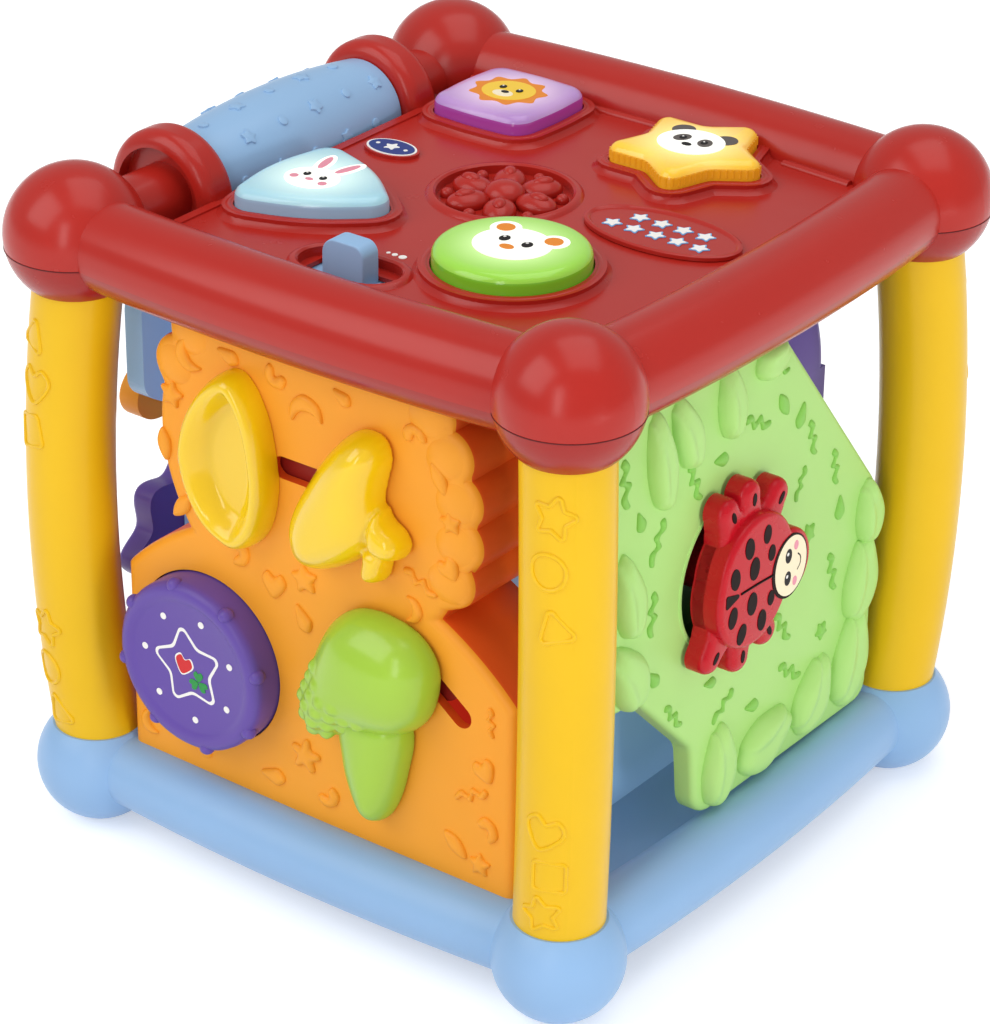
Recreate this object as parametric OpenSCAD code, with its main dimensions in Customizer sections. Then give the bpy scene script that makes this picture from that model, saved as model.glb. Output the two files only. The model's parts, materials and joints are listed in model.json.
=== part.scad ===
// Activity cube for a baby: a red top with light-up buttons and a roller, four bowed
// posts, a pale-blue base and four play panels around an inner column.
// Millimetres, +Z up. The origin is on the floor, under the middle of the cube.

/* [Frame] */
// Distance between the centres of neighbouring corner balls
corner_pitch = 130; // [127:0.5:133]
// Radius of the top corner balls
top_ball_r = 15.5; // [14.8:0.1:16.2]
// Height of the top ball centres
top_ball_z = 143; // [139:0.5:148]
// Radius of the base corner balls
base_ball_r = 14.4; // [14.2:0.1:14.8]
// Height of the base ball centres
base_ball_z = 13.6; // [13.4:0.1:14]
// Radius of the top rails
top_rail_r = 10; // [9.4:0.1:10.6]
// Radius of the base rails
base_rail_r = 8.3; // [7.8:0.1:8.8]
// Height of the base rail centre lines
base_rail_z = 14.5; // [14:0.1:15]
// How far each rail bows outward at its middle
rail_bow = 3.5; // [2:0.1:4]
// Radius of the corner posts
post_r = 9.8; // [9:0.1:10.2]
// How far each post bows outward along the diagonal
post_bow = 3.5; // [2:0.1:5]
// Depth of the joint line below the top ball centres
parting_drop = 2.6; // [2.2:0.1:3]
// Half the width of the square inner column
core_half = 42; // [40:0.5:43]
// Wall thickness of the moulded shells
wall = 2.2; // [1.8:0.1:2.6]
// Distance of the panel faces outside the ball centres
face_out = 1; // [0:0.1:2]
// Depth of the two boxed panels is set by the column; thickness of the two flat panels
flat_panel_t = 5; // [4:0.1:6]

/* [Top] */
// Height of the plate above the top ball centres
plate_rise = 2; // [1:0.1:3]
// Thickness of the plate
plate_t = 2.5; // [2:0.1:3]
// Height of the button faces above the plate
button_h = 6; // [5:0.1:7]
// Press travel of the buttons
button_travel = 2; // [1.5:0.1:2.2]
// Height of the raised rims around the buttons
bezel_h = 2; // [1.2:0.1:2.5]
// Width of the raised rims
bezel_w = 2.8; // [2:0.1:3.2]
// Radius of the round button
round_r = 16.8; // [15:0.1:17.5]
// Half the side of the square button
square_half = 14; // [12.5:0.1:14.5]
// Reach of the star button's points before rounding
star_r = 20; // [18:0.1:20.5]
// Reach of the triangle button's point before rounding
triangle_r = 21; // [19:0.1:22]
// Largest radius of the barrel roller
roller_r = 13.6; // [12.8:0.1:13.8]
// Radius of the roller at its ends
roller_end_r = 11.4; // [11:0.1:12.6]
// Length of the roller
roller_len = 60; // [54:0.5:62]
// Radius of the round ears that carry the roller
ear_r = 15; // [14.2:0.1:15.2]
// Thickness of the ears
ear_t = 10; // [8:0.1:10.5]
// Radius of the roller axle
axle_r = 2.4; // [2:0.1:2.45]
// Radius of the speaker recess
grille_r = 15; // [13.5:0.1:15.5]
// Travel of the volume slider
volume_travel = 8; // [6:0.1:9]

/* [Panels] */
// Radius of the orange panel's upper lobe inside its scallops
lobe_r = 41.5; // [40.5:0.1:42]
// Half the width of the orange panel's lower lobe
lower_half = 53.5; // [52:0.1:53.5]
// Radius of the drum button
drum_r = 20; // [18:0.1:20.5]
// How far the drum stands out from the panel
drum_out = 7.5; // [7:0.1:9]
// Press travel of the drum
drum_travel = 3; // [2:0.1:3.2]
// Slide travel of the pear
pear_travel = 5.5; // [4.5:0.1:6.5]
// Slide travel of the broccoli
broccoli_travel = 10; // [8:0.1:10]
// Width of the two slots in the orange panel
slot_w = 5.2; // [4.8:0.1:5.6]
// Radius of the ladybird's recess
recess_r = 18; // [17:0.1:19]
// Depth of the ladybird's recess
recess_depth = 11; // [10:0.1:12]
// How far the ladybird stands out from the panel
ladybird_out = 8; // [7.5:0.1:9]
// Pitch radius of the two meshing wheels
wheel_pitch_r = 20; // [18:0.1:20.5]
// Number of lobes on each wheel
wheel_lobes = 8; // [6:1:10]
// Half the height of the wheel lobes
lobe_amp = 2.3; // [1.5:0.1:2.6]
// Reach of the three-winged spinner
spinner_r = 20; // [17:0.1:20.5]
// Radius of the back panel's dial
dial_r = 22; // [18:0.1:24]
// Radius of the pins that the turning pieces run on
pin_r = 3; // [2.6:0.1:3.2]

/* [Base] */
// Thickness of the base floor
floor_t = 2.5; // [2:0.1:3]
// Height of the underside cover above the ground
cover_lift = 6.5; // [6:0.1:7]
// Thickness of the underside cover
cover_t = 2.5; // [2:0.1:2.6]
// Radius of a battery cell
cell_r = 7.2; // [7:0.05:7.25]
// Length of a battery cell
cell_len = 50; // [49:0.1:50.5]

/* [Fits] */
// Side gap around pieces that slide
slide_gap = 0.35; // [0.3:0.01:0.5]
// Radial gap between a pin and the bore that turns on it
run_gap = 0.06; // [0.03:0.01:0.1]
// Gap around tenons, screws and other fixed fits
fit_gap = 0.1; // [0.05:0.01:0.15]
// Gap between a turning piece and the face beside it
face_gap = 0.4; // [0.3:0.01:0.6]

/* [Hidden] */
$fn = 64;
half = corner_pitch / 2;
far = 400;
eps = 0.01;

// Heights through the top
rail_under = top_ball_z - top_rail_r;
deck_z = rail_under + 0.4;
deck_t = 1.6;
deck_top = deck_z + deck_t;
parting_z = top_ball_z - parting_drop;
plate_top = top_ball_z + plate_rise;
plate_low = plate_top - plate_t;
button_top = plate_top + button_h;
board_low = deck_top + 0.6;
board_t = 1.6;
board_top = board_low + board_t;
flange_t = 1.5;
flange_out = 1.5;
flange_top = plate_low - 0.3;
dome_rest = 0.7;
plunger_low = board_top + button_travel + dome_rest;
dome_r = 4;

// Roller on the -X edge
roller_x = -half + 1;
roller_z = top_ball_z;
ear_in = roller_len / 2 + face_gap;
ear_out = ear_in + ear_t;
ear_round = 3.5;
ear_dish = 3;
stub_r = 7.5;
lip_x = roller_x + roller_r + 0.8;
lip_h = 0.4;
axle_seat = ear_t - 4;

// Places of the buttons on the plate
ROUND = 0;
SQUARE = 1;
TRIANGLE = 2;
STAR = 3;
button_at = [[22.5, -27.3], [-31, 42], [-32.5, -24], [19.2, 42]];
star_inner = 0.61;
corner_n = 6;
grille_at = [-4, 5];
grille_sink = 1.4;
speaker_r = 13.5;
lead_at = [0, -14];
lead_hole_r = 3;
volume_at = [-5, -46.5];
volume_tab = [11, 5, 9];
volume_sink = 1.5;
volume_hole = volume_tab[0] + volume_travel + 2 * slide_gap;
name_at = [36, 7.5];
name_size = [18.5, 9.5];
badge_at = [-38.5, 9];
badge_size = [7, 4.6];
pad_h = 0.8;

// Posts and their seats in the balls
seat_r = post_r + 0.6;
top_seat = top_ball_z - sqrt(top_ball_r * top_ball_r - seat_r * seat_r);
base_seat = base_ball_z + sqrt(base_ball_r * base_ball_r - seat_r * seat_r);
tenon_r = 6;
tenon_len = 6.5;

// Base heights
floor_top = base_rail_z + 2;
floor_low = floor_top - floor_t;
cover_top = cover_lift + cover_t;

// Panel planes: every panel is drawn with u across, v up and w outward from its face
panel_face = half + face_out;
panel_low = base_rail_z + base_rail_r + 0.2;
panel_high = rail_under - 0.2;
box_depth = panel_face - core_half;
edge_round = 2.5;
lobe_at = [-1, panel_low + 83];
scallop_angles = [-20, -6, 8, 22, 36, 144, 158];
scallop_r = 6.4;
hill_r = 74;
hill_v = panel_low - 6;
FRONT = 0;
GREEN_SIDE = 90;
BACK = 180;
BLUE_SIDE = 270;

// Pieces on the orange panel, measured from the panel's lower edge
dish_peg_r = 3;
dish_at = [-20.5, panel_low + 81.5];
// The pear rests one travel away from the dish, and its slot runs on to the dish's edge
pear_reach = 14.7;
dish_reach = 12.1;
pear_at = [dish_at[0] + dish_reach + pear_reach + pear_travel + slide_gap, panel_low + 82];
pear_slot_v = panel_low + 82.5;
pear_neck_u = pear_at[0] - 8.5;
pear_slot_spare = 4;
broccoli_at = [17.5, panel_low + 41];
broccoli_neck = [30.4, panel_low + 46.6];
broccoli_dir = [0.8, -0.6];
neck_len = 3.4;
// The drum's hidden flange just clears the panel's side wall
drum_flange_t = 2;
drum_flange_out = 1;
drum_at = [drum_r + drum_flange_out + slide_gap + wall - lower_half, panel_low + 29.5];
slider_lift = 0.4;

// Pieces on the other panels
ladybird_at = [-6.7, panel_low + 58.5];
ladybird_t = 7;
ladybird_mid = [-2.6, 0.5];
ladybird_head = [9.6, -0.8];
leg_angles = [53, 88, 112, 231, 266, 298];
wheel_t = 6;
wheel_v = panel_low + 32;
wheel_u = [27, 27 - 2 * wheel_pitch_r - 1];
spinner_at = [wheel_u[0], wheel_v + wheel_pitch_r + lobe_amp + spinner_r + 3 * face_gap];
spinner_phase = -13;
dial_at = [0, panel_low + 62];
dial_t = 9;
pin_head_r = pin_r + 1.8;
pin_head_t = 1.6;
blue_high = roller_z - ear_r - 0.6;

// Fasteners
screw_r = 1.5;
screw_head_r = 2.8;
screw_head_t = 1.8;
boss_r = 4;
screw_sink = 1.2;
top_screw_z = rail_under + 3.2;
board_boss_at = 24;
core_boss = core_half - wall - boss_r + 0.4;

// Battery box inside the column
cell_gap = 0.15;
box_u = cell_len / 2 + 1.6;
box_v = 2 * cell_r + 1.8;
cell_z = cover_lift + cover_t + cell_r;
cell_top = cell_z + cell_r + 0.6;
door_t = cover_t - 0.2;
door_lap = 4.5;
door_x = [-box_u - door_lap, box_u + 12.5];
door_y = box_v + 4;
door_screw_x = box_u + 8;
cover_half = half - base_rail_r + 0.3;
cover_boss_at = core_boss + boss_r + screw_head_r + 2;

// Colours of the mouldings
red = [0.70, 0.19, 0.18];
yellow = [0.94, 0.76, 0.18];
pale_blue = [0.61, 0.73, 0.89];
orange = [0.98, 0.64, 0.23];
leaf_green = [0.63, 0.84, 0.45];
purple = [0.43, 0.35, 0.67];
steel = [0.72, 0.73, 0.75];

// Outline helpers

// Moves every edge of a counter-clockwise outline outward by d
function grow(pts, d) =
    let (n = len(pts))
    [for (i = [0:n - 1])
        let (p0 = pts[(i + n - 1) % n], p1 = pts[i], p2 = pts[(i + 1) % n],
             e0 = (p1 - p0) / norm(p1 - p0), e1 = (p2 - p1) / norm(p2 - p1),
             n0 = [e0[1], -e0[0]], n1 = [e1[1], -e1[0]])
        p1 + (n0 + n1) * d / (1 + n0 * n1)];

// Points of the arc that rounds the corner p0-p1-p2 to radius r
function corner(p0, p1, p2, r, n) =
    let (u = (p0 - p1) / norm(p0 - p1), v = (p2 - p1) / norm(p2 - p1),
         opening = acos(u * v), c = p1 + (u + v) / norm(u + v) * r / sin(opening / 2),
         s = p1 + u * r / tan(opening / 2) - c, e = p1 + v * r / tan(opening / 2) - c,
         a0 = atan2(s[1], s[0]), turn = atan2(s[0] * e[1] - s[1] * e[0], s * e))
    [for (i = [0:n]) c + r * [cos(a0 + turn * i / n), sin(a0 + turn * i / n)]];

// Rounds an outline, with one radius for each corner
function rounded(pts, radii, n = corner_n) =
    let (m = len(pts))
    [for (i = [0:m - 1])
        each corner(pts[(i + m - 1) % m], pts[i], pts[(i + 1) % m], radii[i % len(radii)], n)];

// Smooth closed curve through the given points
function spline(pts, n = 5) =
    let (m = len(pts))
    [for (i = [0:m - 1], k = [0:n - 1])
        let (t = k / n, a = pts[(i + m - 1) % m], b = pts[i],
             c = pts[(i + 1) % m], d = pts[(i + 2) % m])
        0.5 * (2 * b + (c - a) * t + (2 * a - 5 * b + 4 * c - d) * t * t
               + (3 * b - a - 3 * c + d) * t * t * t)];

function ellipse_points(size, n = 40) =
    [for (i = [0:n - 1]) [size[0] * cos(360 * i / n), size[1] * sin(360 * i / n)]];

function lobed(r, amp, count, phase = 0, n = 12) =
    [for (i = [0:count * n - 1])
        let (a = 360 * i / (count * n)) (r + amp * cos(count * (a - phase))) * [cos(a), sin(a)]];

// Solid through a stack of outlines; a layer is [outline, height]
module loft(layers) {
    n = len(layers[0][0]);
    m = len(layers);
    points = [for (layer = layers, p = layer[0]) [p[0], p[1], layer[1]]];
    sides = [for (j = [0:m - 2], i = [0:n - 1], k = [0, 1])
        let (a = j * n + i, b = j * n + (i + 1) % n)
        k == 0 ? [a, a + n, b] : [b, a + n, b + n]];
    low = [for (i = [0:n - 1]) i];
    high = [for (i = [n - 1:-1:0]) (m - 1) * n + i];
    polyhedron(points, concat([low], sides, [high]));
}

// Cushioned solid: the outline closes over a height h in rounded steps
module puff(outline, h, base = 0, steps = 5) {
    layers = [for (i = [0:steps])
        let (a = 78 * i / steps) [outline * pow(cos(a), 0.7), base + (h - base) * sin(a) / sin(78)]];
    loft(base > 0 ? concat([[outline, 0]], layers) : layers);
}

// Solid disc with a rounded upper edge
module puck(r, h, round_r = edge_round) {
    rotate_extrude() {
        square([r - round_r, h]);
        square([r, h - round_r]);
        translate([r - round_r, h - round_r]) intersection() {
            circle(round_r);
            square(round_r);
        }
    }
}

// Rounded leaf, long in the local Y direction
module leaf(length, width, h = 4) { puff(ellipse_points([width / 2, length / 2], 20), h, 1, 4); }

module stadium(length, r, h) {
    for (s = [-1, 1]) translate([s * length / 2, 0, 0]) cylinder(r = r, h = h);
    translate([-length / 2, -r, 0]) cube([length, 2 * r, h]);
}

module below(z) { translate([-far / 2, -far / 2, z - far]) cube(far); }
module above(z) { translate([-far / 2, -far / 2, z]) cube(far); }

module at_corners(d = half) {
    for (sx = [-1, 1], sy = [-1, 1]) translate([sx * d, sy * d, 0]) children();
}

// Places children, drawn in u, v, w, on the panel face that is turned by angle a
module on_face(a) { rotate([0, 0, a]) translate([0, -panel_face, 0]) rotate([90, 0, 0]) children(); }

module screw(length) {
    translate([0, 0, -screw_head_t]) cylinder(r = screw_head_r, h = screw_head_t);
    cylinder(r = screw_r, h = length);
}

// Rail between two neighbouring balls along X, on the -Y side
module bowed_rail(r, z) {
    bend_r = (half * half + rail_bow * rail_bow) / (2 * rail_bow);
    reach = asin(half / bend_r);
    translate([0, bend_r - half - rail_bow, z]) rotate([0, 0, -90 - reach])
        rotate_extrude(angle = 2 * reach, $fn = 360) translate([bend_r, 0]) circle(r);
}

// Distance of a rail's centre line from the middle, at a place x along it
function rail_line(x) =
    let (bend_r = (half * half + rail_bow * rail_bow) / (2 * rail_bow))
    half + rail_bow - bend_r + sqrt(bend_r * bend_r - x * x);

// Top

module ear_disc() {
    rotate_extrude() difference() {
        union() {
            square([ear_r - ear_round, ear_t]);
            translate([0, ear_round]) square([ear_r, ear_t - 2 * ear_round]);
            for (y = [ear_round, ear_t - ear_round])
                translate([ear_r - ear_round, y]) intersection() {
                    circle(ear_round);
                    translate([0, -ear_round]) square([ear_round, 2 * ear_round]);
                }
        }
        translate([stub_r, -1]) square([ear_r - ear_round - stub_r, ear_dish + 1]);
    }
}

// Balls, rails and ears before they are parted into the two mouldings
module top_solid() {
    at_corners() translate([0, 0, top_ball_z]) sphere(top_ball_r);
    for (a = [FRONT, GREEN_SIDE, BACK]) rotate([0, 0, a]) bowed_rail(top_rail_r, top_ball_z);
    for (s = [0, 1]) mirror([0, s, 0]) translate([roller_x, -ear_out, roller_z]) rotate([-90, 0, 0]) {
        ear_disc();
        translate([0, 0, ear_out - half]) cylinder(r = stub_r, h = half - ear_out + ear_dish + 1);
    }
}

// Base outline of each button, counter-clockwise, with its corner radii
function button_base(k) =
    k == SQUARE ? [for (a = [0:45:315]) (a % 90 == 0 ? square_half : 1.33 * square_half) * [cos(a), sin(a)]]
    : k == TRIANGLE ? [for (i = [0:2]) each
        [triangle_r * [cos(120 * i), sin(120 * i)], 0.68 * triangle_r * [cos(120 * i + 60), sin(120 * i + 60)]]]
    : [for (i = [0:9]) (i % 2 == 0 ? star_r : star_inner * star_r) * [cos(36 * i), sin(36 * i)]];

function button_radii(k, d) =
    k == SQUARE ? [60 + d, 5 + d] : k == TRIANGLE ? [5 + d, 40 + d] : [3 + d, 4.5 - d];

function button_outline(k, d = 0) =
    k == ROUND ? ellipse_points([round_r + d, round_r + d], 48)
    : rounded(grow(button_base(k), d), button_radii(k, d));

module button_prism(k, d, h) {
    if (k == ROUND) cylinder(r = round_r + d, h = h);
    else linear_extrude(h) polygon(button_outline(k, d));
}

module button(k) {
    // Offset and height of each step, from the hidden flange up to the crowned face
    rim = [[flange_out, flange_top - flange_t], [flange_out, flange_top], [0, flange_top], [0, button_top - 2],
           [-0.35, button_top - 1], [-0.9, button_top - 0.35], [-1.9, button_top]];
    translate([button_at[k][0], button_at[k][1], 0]) {
        loft([for (r = rim) [button_outline(k, r[0]), r[1]]]);
        translate([0, 0, plunger_low]) cylinder(r = dome_r, h = flange_top - plunger_low);
    }
}

module dome(k) {
    color("gainsboro") translate([button_at[k][0], button_at[k][1], board_top])
        cylinder(r1 = dome_r, r2 = dome_r - 1, h = plunger_low - board_top);
}

// Low flower of petals in the speaker recess
module grille_flower() {
    h = grille_sink + 0.9;
    translate([grille_at[0], grille_at[1], plate_top - grille_sink - eps]) {
        for (a = [0:60:300]) rotate([0, 0, a]) translate([0.5 * grille_r, 0, 0]) puck(0.22 * grille_r, h, 1.2);
        puck(0.24 * grille_r, h + 0.6, 1.5);
    }
}

module top_screw_places() {
    for (a = [FRONT, GREEN_SIDE, BACK], s = [-1, 1])
        let (x = s * 0.7 * half) rotate([0, 0, a]) translate([x, -rail_line(x), 0]) children();
}

module top_cover() {
    color(red) difference() {
        union() {
            intersection() {
                top_solid();
                above(parting_z);
            }
            translate([lip_x, -half, plate_low]) cube([half - lip_x, 2 * half, plate_t]);
            translate([lip_x, -half + 8, parting_z])
                cube([wall, 2 * half - 16, plate_top + lip_h - parting_z]);
            for (k = [ROUND, SQUARE, TRIANGLE, STAR])
                translate([button_at[k][0], button_at[k][1], plate_low + 0.5])
                    button_prism(k, bezel_w, plate_top + bezel_h - plate_low - 0.5);
            translate([name_at[0], name_at[1], plate_low + 0.5])
                linear_extrude(plate_t - 0.5 + pad_h) polygon(ellipse_points(name_size));
            translate([badge_at[0], badge_at[1], plate_low + 0.5])
                linear_extrude(plate_t - 0.5 + pad_h) polygon(ellipse_points(badge_size));
        }
        for (k = [ROUND, SQUARE, TRIANGLE, STAR])
            translate([button_at[k][0], button_at[k][1], 0]) {
                translate([0, 0, parting_z - 1]) button_prism(k, slide_gap, 20);
                // Room for the hidden flange where it meets a rail or the lip
                translate([0, 0, parting_z - 1]) button_prism(k, flange_out + slide_gap, plate_low - 0.1 - parting_z + 1);
            }
        // The roller turns in the gap between the ears and the lip
        translate([roller_x, 0, roller_z]) rotate([90, 0, 0])
            cylinder(r = roller_r + 0.5, h = 2 * ear_in - 2 * eps, center = true);
        translate([roller_x, 0, roller_z]) rotate([90, 0, 0])
            cylinder(r = axle_r + fit_gap, h = 2 * (ear_in + axle_seat), center = true);
        translate([grille_at[0], grille_at[1], plate_top - grille_sink]) cylinder(r = grille_r, h = 9);
        for (a = [30:60:330]) rotate_about(grille_at, a)
            translate([0.8 * grille_r, 0, plate_low - 1]) cylinder(r = 1.1, h = 9);
        translate([volume_at[0], volume_at[1], plate_top - volume_sink])
            stadium(volume_travel + 4, volume_tab[1] + 1.2, 9);
        translate([volume_at[0], volume_at[1], plate_low - 1])
            translate([-volume_hole / 2, -volume_tab[1] / 2 - slide_gap, 0])
                cube([volume_hole, volume_tab[1] + 2 * slide_gap, 9]);
        top_screw_places() translate([0, 0, parting_z - 1]) cylinder(r = screw_r + fit_gap / 2, h = 6);
    }
    color(red) grille_flower();
}

module rotate_about(p, a) { translate([p[0], p[1], 0]) rotate([0, 0, a]) children(); }

module top_underframe() {
    color(0.95 * red) difference() {
        union() {
            intersection() {
                top_solid();
                below(parting_z);
            }
            translate([lip_x, -half, deck_z]) cube([half - lip_x, 2 * half, deck_t]);
            translate([lip_x, -half + 8, deck_z]) cube([wall, 2 * half - 16, parting_z - deck_z]);
            at_corners(board_boss_at) translate([0, 0, deck_z]) cylinder(r = boss_r, h = board_low - deck_z);
        }
        translate([roller_x, 0, roller_z]) rotate([90, 0, 0])
            cylinder(r = roller_r + 0.5, h = 2 * ear_in - 2 * eps, center = true);
        at_corners() {
            translate([0, 0, top_seat - far]) cylinder(r = top_ball_r, h = far);
            cylinder(r = tenon_r + fit_gap, h = top_seat + tenon_len + fit_gap);
        }
        top_screw_places() {
            cylinder(r = screw_r + fit_gap, h = far);
            cylinder(r = screw_head_r + fit_gap, h = top_screw_z);
        }
        at_corners(core_boss) cylinder(r = screw_r + fit_gap, h = far);
        translate([lead_at[0], lead_at[1], 0]) cylinder(r = lead_hole_r, h = far);
        for (k = [ROUND, SQUARE, TRIANGLE, STAR])
            translate([button_at[k][0], button_at[k][1], flange_top - flange_t - button_travel - slide_gap])
                button_prism(k, flange_out + slide_gap, 9);
    }
}

module roller() {
    bend_r = (roller_len * roller_len / 4 + (roller_r - roller_end_r) * (roller_r - roller_end_r))
             / (2 * (roller_r - roller_end_r));
    color([0.59, 0.75, 0.90]) translate([roller_x, 0, roller_z]) rotate([90, 0, 0])
        rotate_extrude() intersection() {
            translate([roller_r - bend_r, 0]) circle(bend_r, $fn = 720);
            translate([axle_r + run_gap, -roller_len / 2]) square([roller_r, roller_len]);
        }
}

module roller_axle() {
    color(steel) translate([roller_x, 0, roller_z]) rotate([90, 0, 0])
        cylinder(r = axle_r, h = 2 * (ear_in + axle_seat - fit_gap), center = true);
}

module button_round() { color([0.45, 0.85, 0.25, 0.8]) button(ROUND); }
module button_square() { color([0.66, 0.50, 0.80, 0.8]) button(SQUARE); }
module button_triangle() { color([0.65, 0.82, 0.88, 0.8]) button(TRIANGLE); }
module button_star() { color([0.97, 0.78, 0.20, 0.8]) button(STAR); }

module dome_round() { dome(ROUND); }
module dome_square() { dome(SQUARE); }
module dome_triangle() { dome(TRIANGLE); }
module dome_star() { dome(STAR); }

module circuit_board() {
    board_half = half - top_rail_r - 8;
    color("darkgreen") difference() {
        translate([lip_x + wall + 1, -board_half, board_low])
            cube([board_half - lip_x - wall - 1, 2 * board_half, board_t]);
        translate([grille_at[0], grille_at[1], board_low - 1]) cylinder(r = speaker_r + 0.6, h = 9);
        at_corners(core_boss) translate([0, 0, board_low - 1]) cylinder(r = screw_head_r + 0.6, h = 9);
    }
}

module light_emitters() {
    color("white") for (p = button_at)
        translate([p[0] - 8.5, p[1] - 1.5, board_top]) cube([3, 3, 0.9]);
}

module loudspeaker() {
    magnet_h = 2.4;
    color("dimgray") translate([grille_at[0], grille_at[1], 0]) {
        translate([0, 0, plate_low - 1.2]) cylinder(r = speaker_r, h = 1.2);
        translate([0, 0, deck_top + magnet_h]) cylinder(r1 = 7, r2 = speaker_r - 1.5,
            h = plate_low - 1.2 - deck_top - magnet_h + eps);
        translate([0, 0, deck_top + 0.1]) cylinder(r = 7, h = magnet_h);
    }
}

// Upright tab with a foot, held under the plate by its flange
module volume_slider() {
    // The flange reaches further on one side, where it fills the slot beside the tab
    short_side = volume_tab[0] / 2 + 2.5;
    long_side = short_side + volume_travel;
    flange = [short_side + long_side, volume_tab[1] + 4, 1.4];
    color([0.59, 0.75, 0.90]) translate([volume_at[0], volume_at[1], 0]) {
        translate([-long_side, -flange[1] / 2, plate_low - 0.3 - flange[2]]) cube(flange);
        translate([0, volume_tab[1] / 2, 0]) rotate([90, 0, 0]) linear_extrude(volume_tab[1])
            polygon(rounded([[-volume_tab[0] / 2, plate_low - 0.5], [volume_tab[0] / 2, plate_low - 0.5],
                [volume_tab[0] / 2, plate_top + volume_tab[2]], [-volume_tab[0] / 2, plate_top + volume_tab[2]]],
                [0.3, 0.3, 2.5, 2.5]));
    }
}

module top_screws() {
    color(steel) top_screw_places() translate([0, 0, top_screw_z]) screw(parting_z + 4.5 - top_screw_z);
}

// Corner posts

module post(sx, sy) {
    height = top_seat - base_seat;
    bend_r = (height * height / 4 + post_bow * post_bow) / (2 * post_bow);
    reach = asin((height / 2 + 3) / bend_r);
    color(yellow) translate([sx * half, sy * half, 0]) {
        intersection() {
            translate([0, 0, base_seat + height / 2]) rotate([0, 0, atan2(sy, sx)])
                translate([post_bow - bend_r, 0, 0]) rotate([90, 0, 0]) rotate([0, 0, -reach])
                    rotate_extrude(angle = 2 * reach, $fn = 360) translate([bend_r, 0]) circle(post_r);
            translate([-far / 2, -far / 2, base_seat]) cube([far, far, height]);
        }
        translate([0, 0, base_seat - tenon_len]) cylinder(r = tenon_r, h = tenon_len + 1);
        translate([0, 0, top_seat - 1]) cylinder(r = tenon_r, h = tenon_len + 1);
    }
}

module post_front_right() { post(1, -1); }
module post_front_left() { post(-1, -1); }
module post_back_right() { post(1, 1); }
module post_back_left() { post(-1, 1); }

// Base

module base_tray() {
    color(pale_blue) difference() {
        union() {
            at_corners() translate([0, 0, base_ball_z]) sphere(base_ball_r);
            for (a = [0:90:270]) rotate([0, 0, a]) bowed_rail(base_rail_r, base_rail_z);
            translate([-half, -half, floor_low]) cube([2 * half, 2 * half, floor_t]);
            translate([-box_u - wall, -box_v - wall, cover_top])
                cube([2 * (box_u + wall), 2 * (box_v + wall), cell_top + wall - cover_top]);
            at_corners(cover_boss_at) translate([0, 0, cover_top])
                cylinder(r = boss_r, h = floor_low - cover_top + 1);
            translate([door_screw_x, 0, cover_top]) cylinder(r = boss_r, h = floor_low - cover_top + 1);
        }
        below(0);
        translate([-box_u, -box_v, cover_top - 1]) cube([2 * box_u, 2 * box_v, cell_top - cover_top + 1]);
        at_corners() {
            translate([0, 0, base_seat]) cylinder(r = base_ball_r, h = far);
            translate([0, 0, base_seat - tenon_len - fit_gap]) cylinder(r = tenon_r + fit_gap, h = far);
        }
        at_corners(core_boss) translate([0, 0, floor_low - 1]) cylinder(r = screw_r + fit_gap, h = far);
        at_corners(cover_boss_at) translate([0, 0, cover_top - 1])
            cylinder(r = screw_r + fit_gap / 2, h = floor_low - cover_top + 2);
        translate([door_screw_x, 0, cover_top - 1])
            cylinder(r = screw_r + fit_gap / 2, h = floor_low - cover_top + 2);
    }
}

module base_cover() {
    color(0.95 * pale_blue) difference() {
        translate([-cover_half, -cover_half, cover_lift]) cube([2 * cover_half, 2 * cover_half, cover_t]);
        at_corners() cylinder(r = base_ball_r + 0.6, h = far);
        translate([door_x[0] - slide_gap, -door_y - slide_gap, 0])
            cube([door_x[1] - door_x[0] + 2 * slide_gap, 2 * (door_y + slide_gap), far]);
        at_corners(cover_boss_at) {
            cylinder(r = screw_r + fit_gap, h = far);
            cylinder(r = screw_head_r + fit_gap, h = cover_lift + screw_sink);
        }
    }
}

module battery_door() {
    // Hooks that go over the cover's edge, rooted between that edge and the battery box
    tab = [4, 6, 1.4];
    root = door_lap - wall - slide_gap;
    color(0.95 * pale_blue) difference() {
        union() {
            translate([door_x[0], -door_y, cover_lift]) cube([door_x[1] - door_x[0], 2 * door_y, door_t]);
            for (s = [-1, 1]) translate([door_x[0], s * 0.6 * door_y - tab[1] / 2, 0]) {
                translate([-tab[0], 0, cover_top + 0.2]) cube([tab[0] + root, tab[1], tab[2]]);
                translate([0, 0, cover_lift + 1]) cube([root, tab[1], cover_t + tab[2] - 0.8]);
            }
        }
        translate([door_screw_x, 0, 0]) {
            cylinder(r = screw_r + fit_gap, h = far);
            cylinder(r = screw_head_r + fit_gap, h = cover_lift + screw_sink);
        }
        // Finger groove at the screw end
        translate([door_x[1] - 3, 0, cover_lift - 0.6]) rotate([90, 0, 0])
            cylinder(r = 1.4, h = door_y, center = true);
    }
}

module battery_door_screw() {
    color(steel) translate([door_screw_x, 0, cover_lift + screw_sink]) screw(floor_low - cover_lift - screw_sink);
}

module battery_cells() {
    color("dimgray") for (s = [-1, 1]) translate([0, s * (cell_r + cell_gap), cell_z - 0.1])
        rotate([0, 90, 0]) cylinder(r = cell_r, h = cell_len, center = true);
}

module battery_contacts() {
    strip = [1.3, 3.4 * cell_r, 1.2 * cell_r];
    color(steel) for (s = [-1, 1])
        translate([s * (cell_len / 2 + 0.1 + strip[0] / 2), 0, cell_z]) cube(strip, center = true);
}

module base_screws() {
    color(steel) at_corners(cover_boss_at) translate([0, 0, cover_lift + screw_sink])
        screw(floor_low - cover_lift - screw_sink);
}

// Inner column

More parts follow.
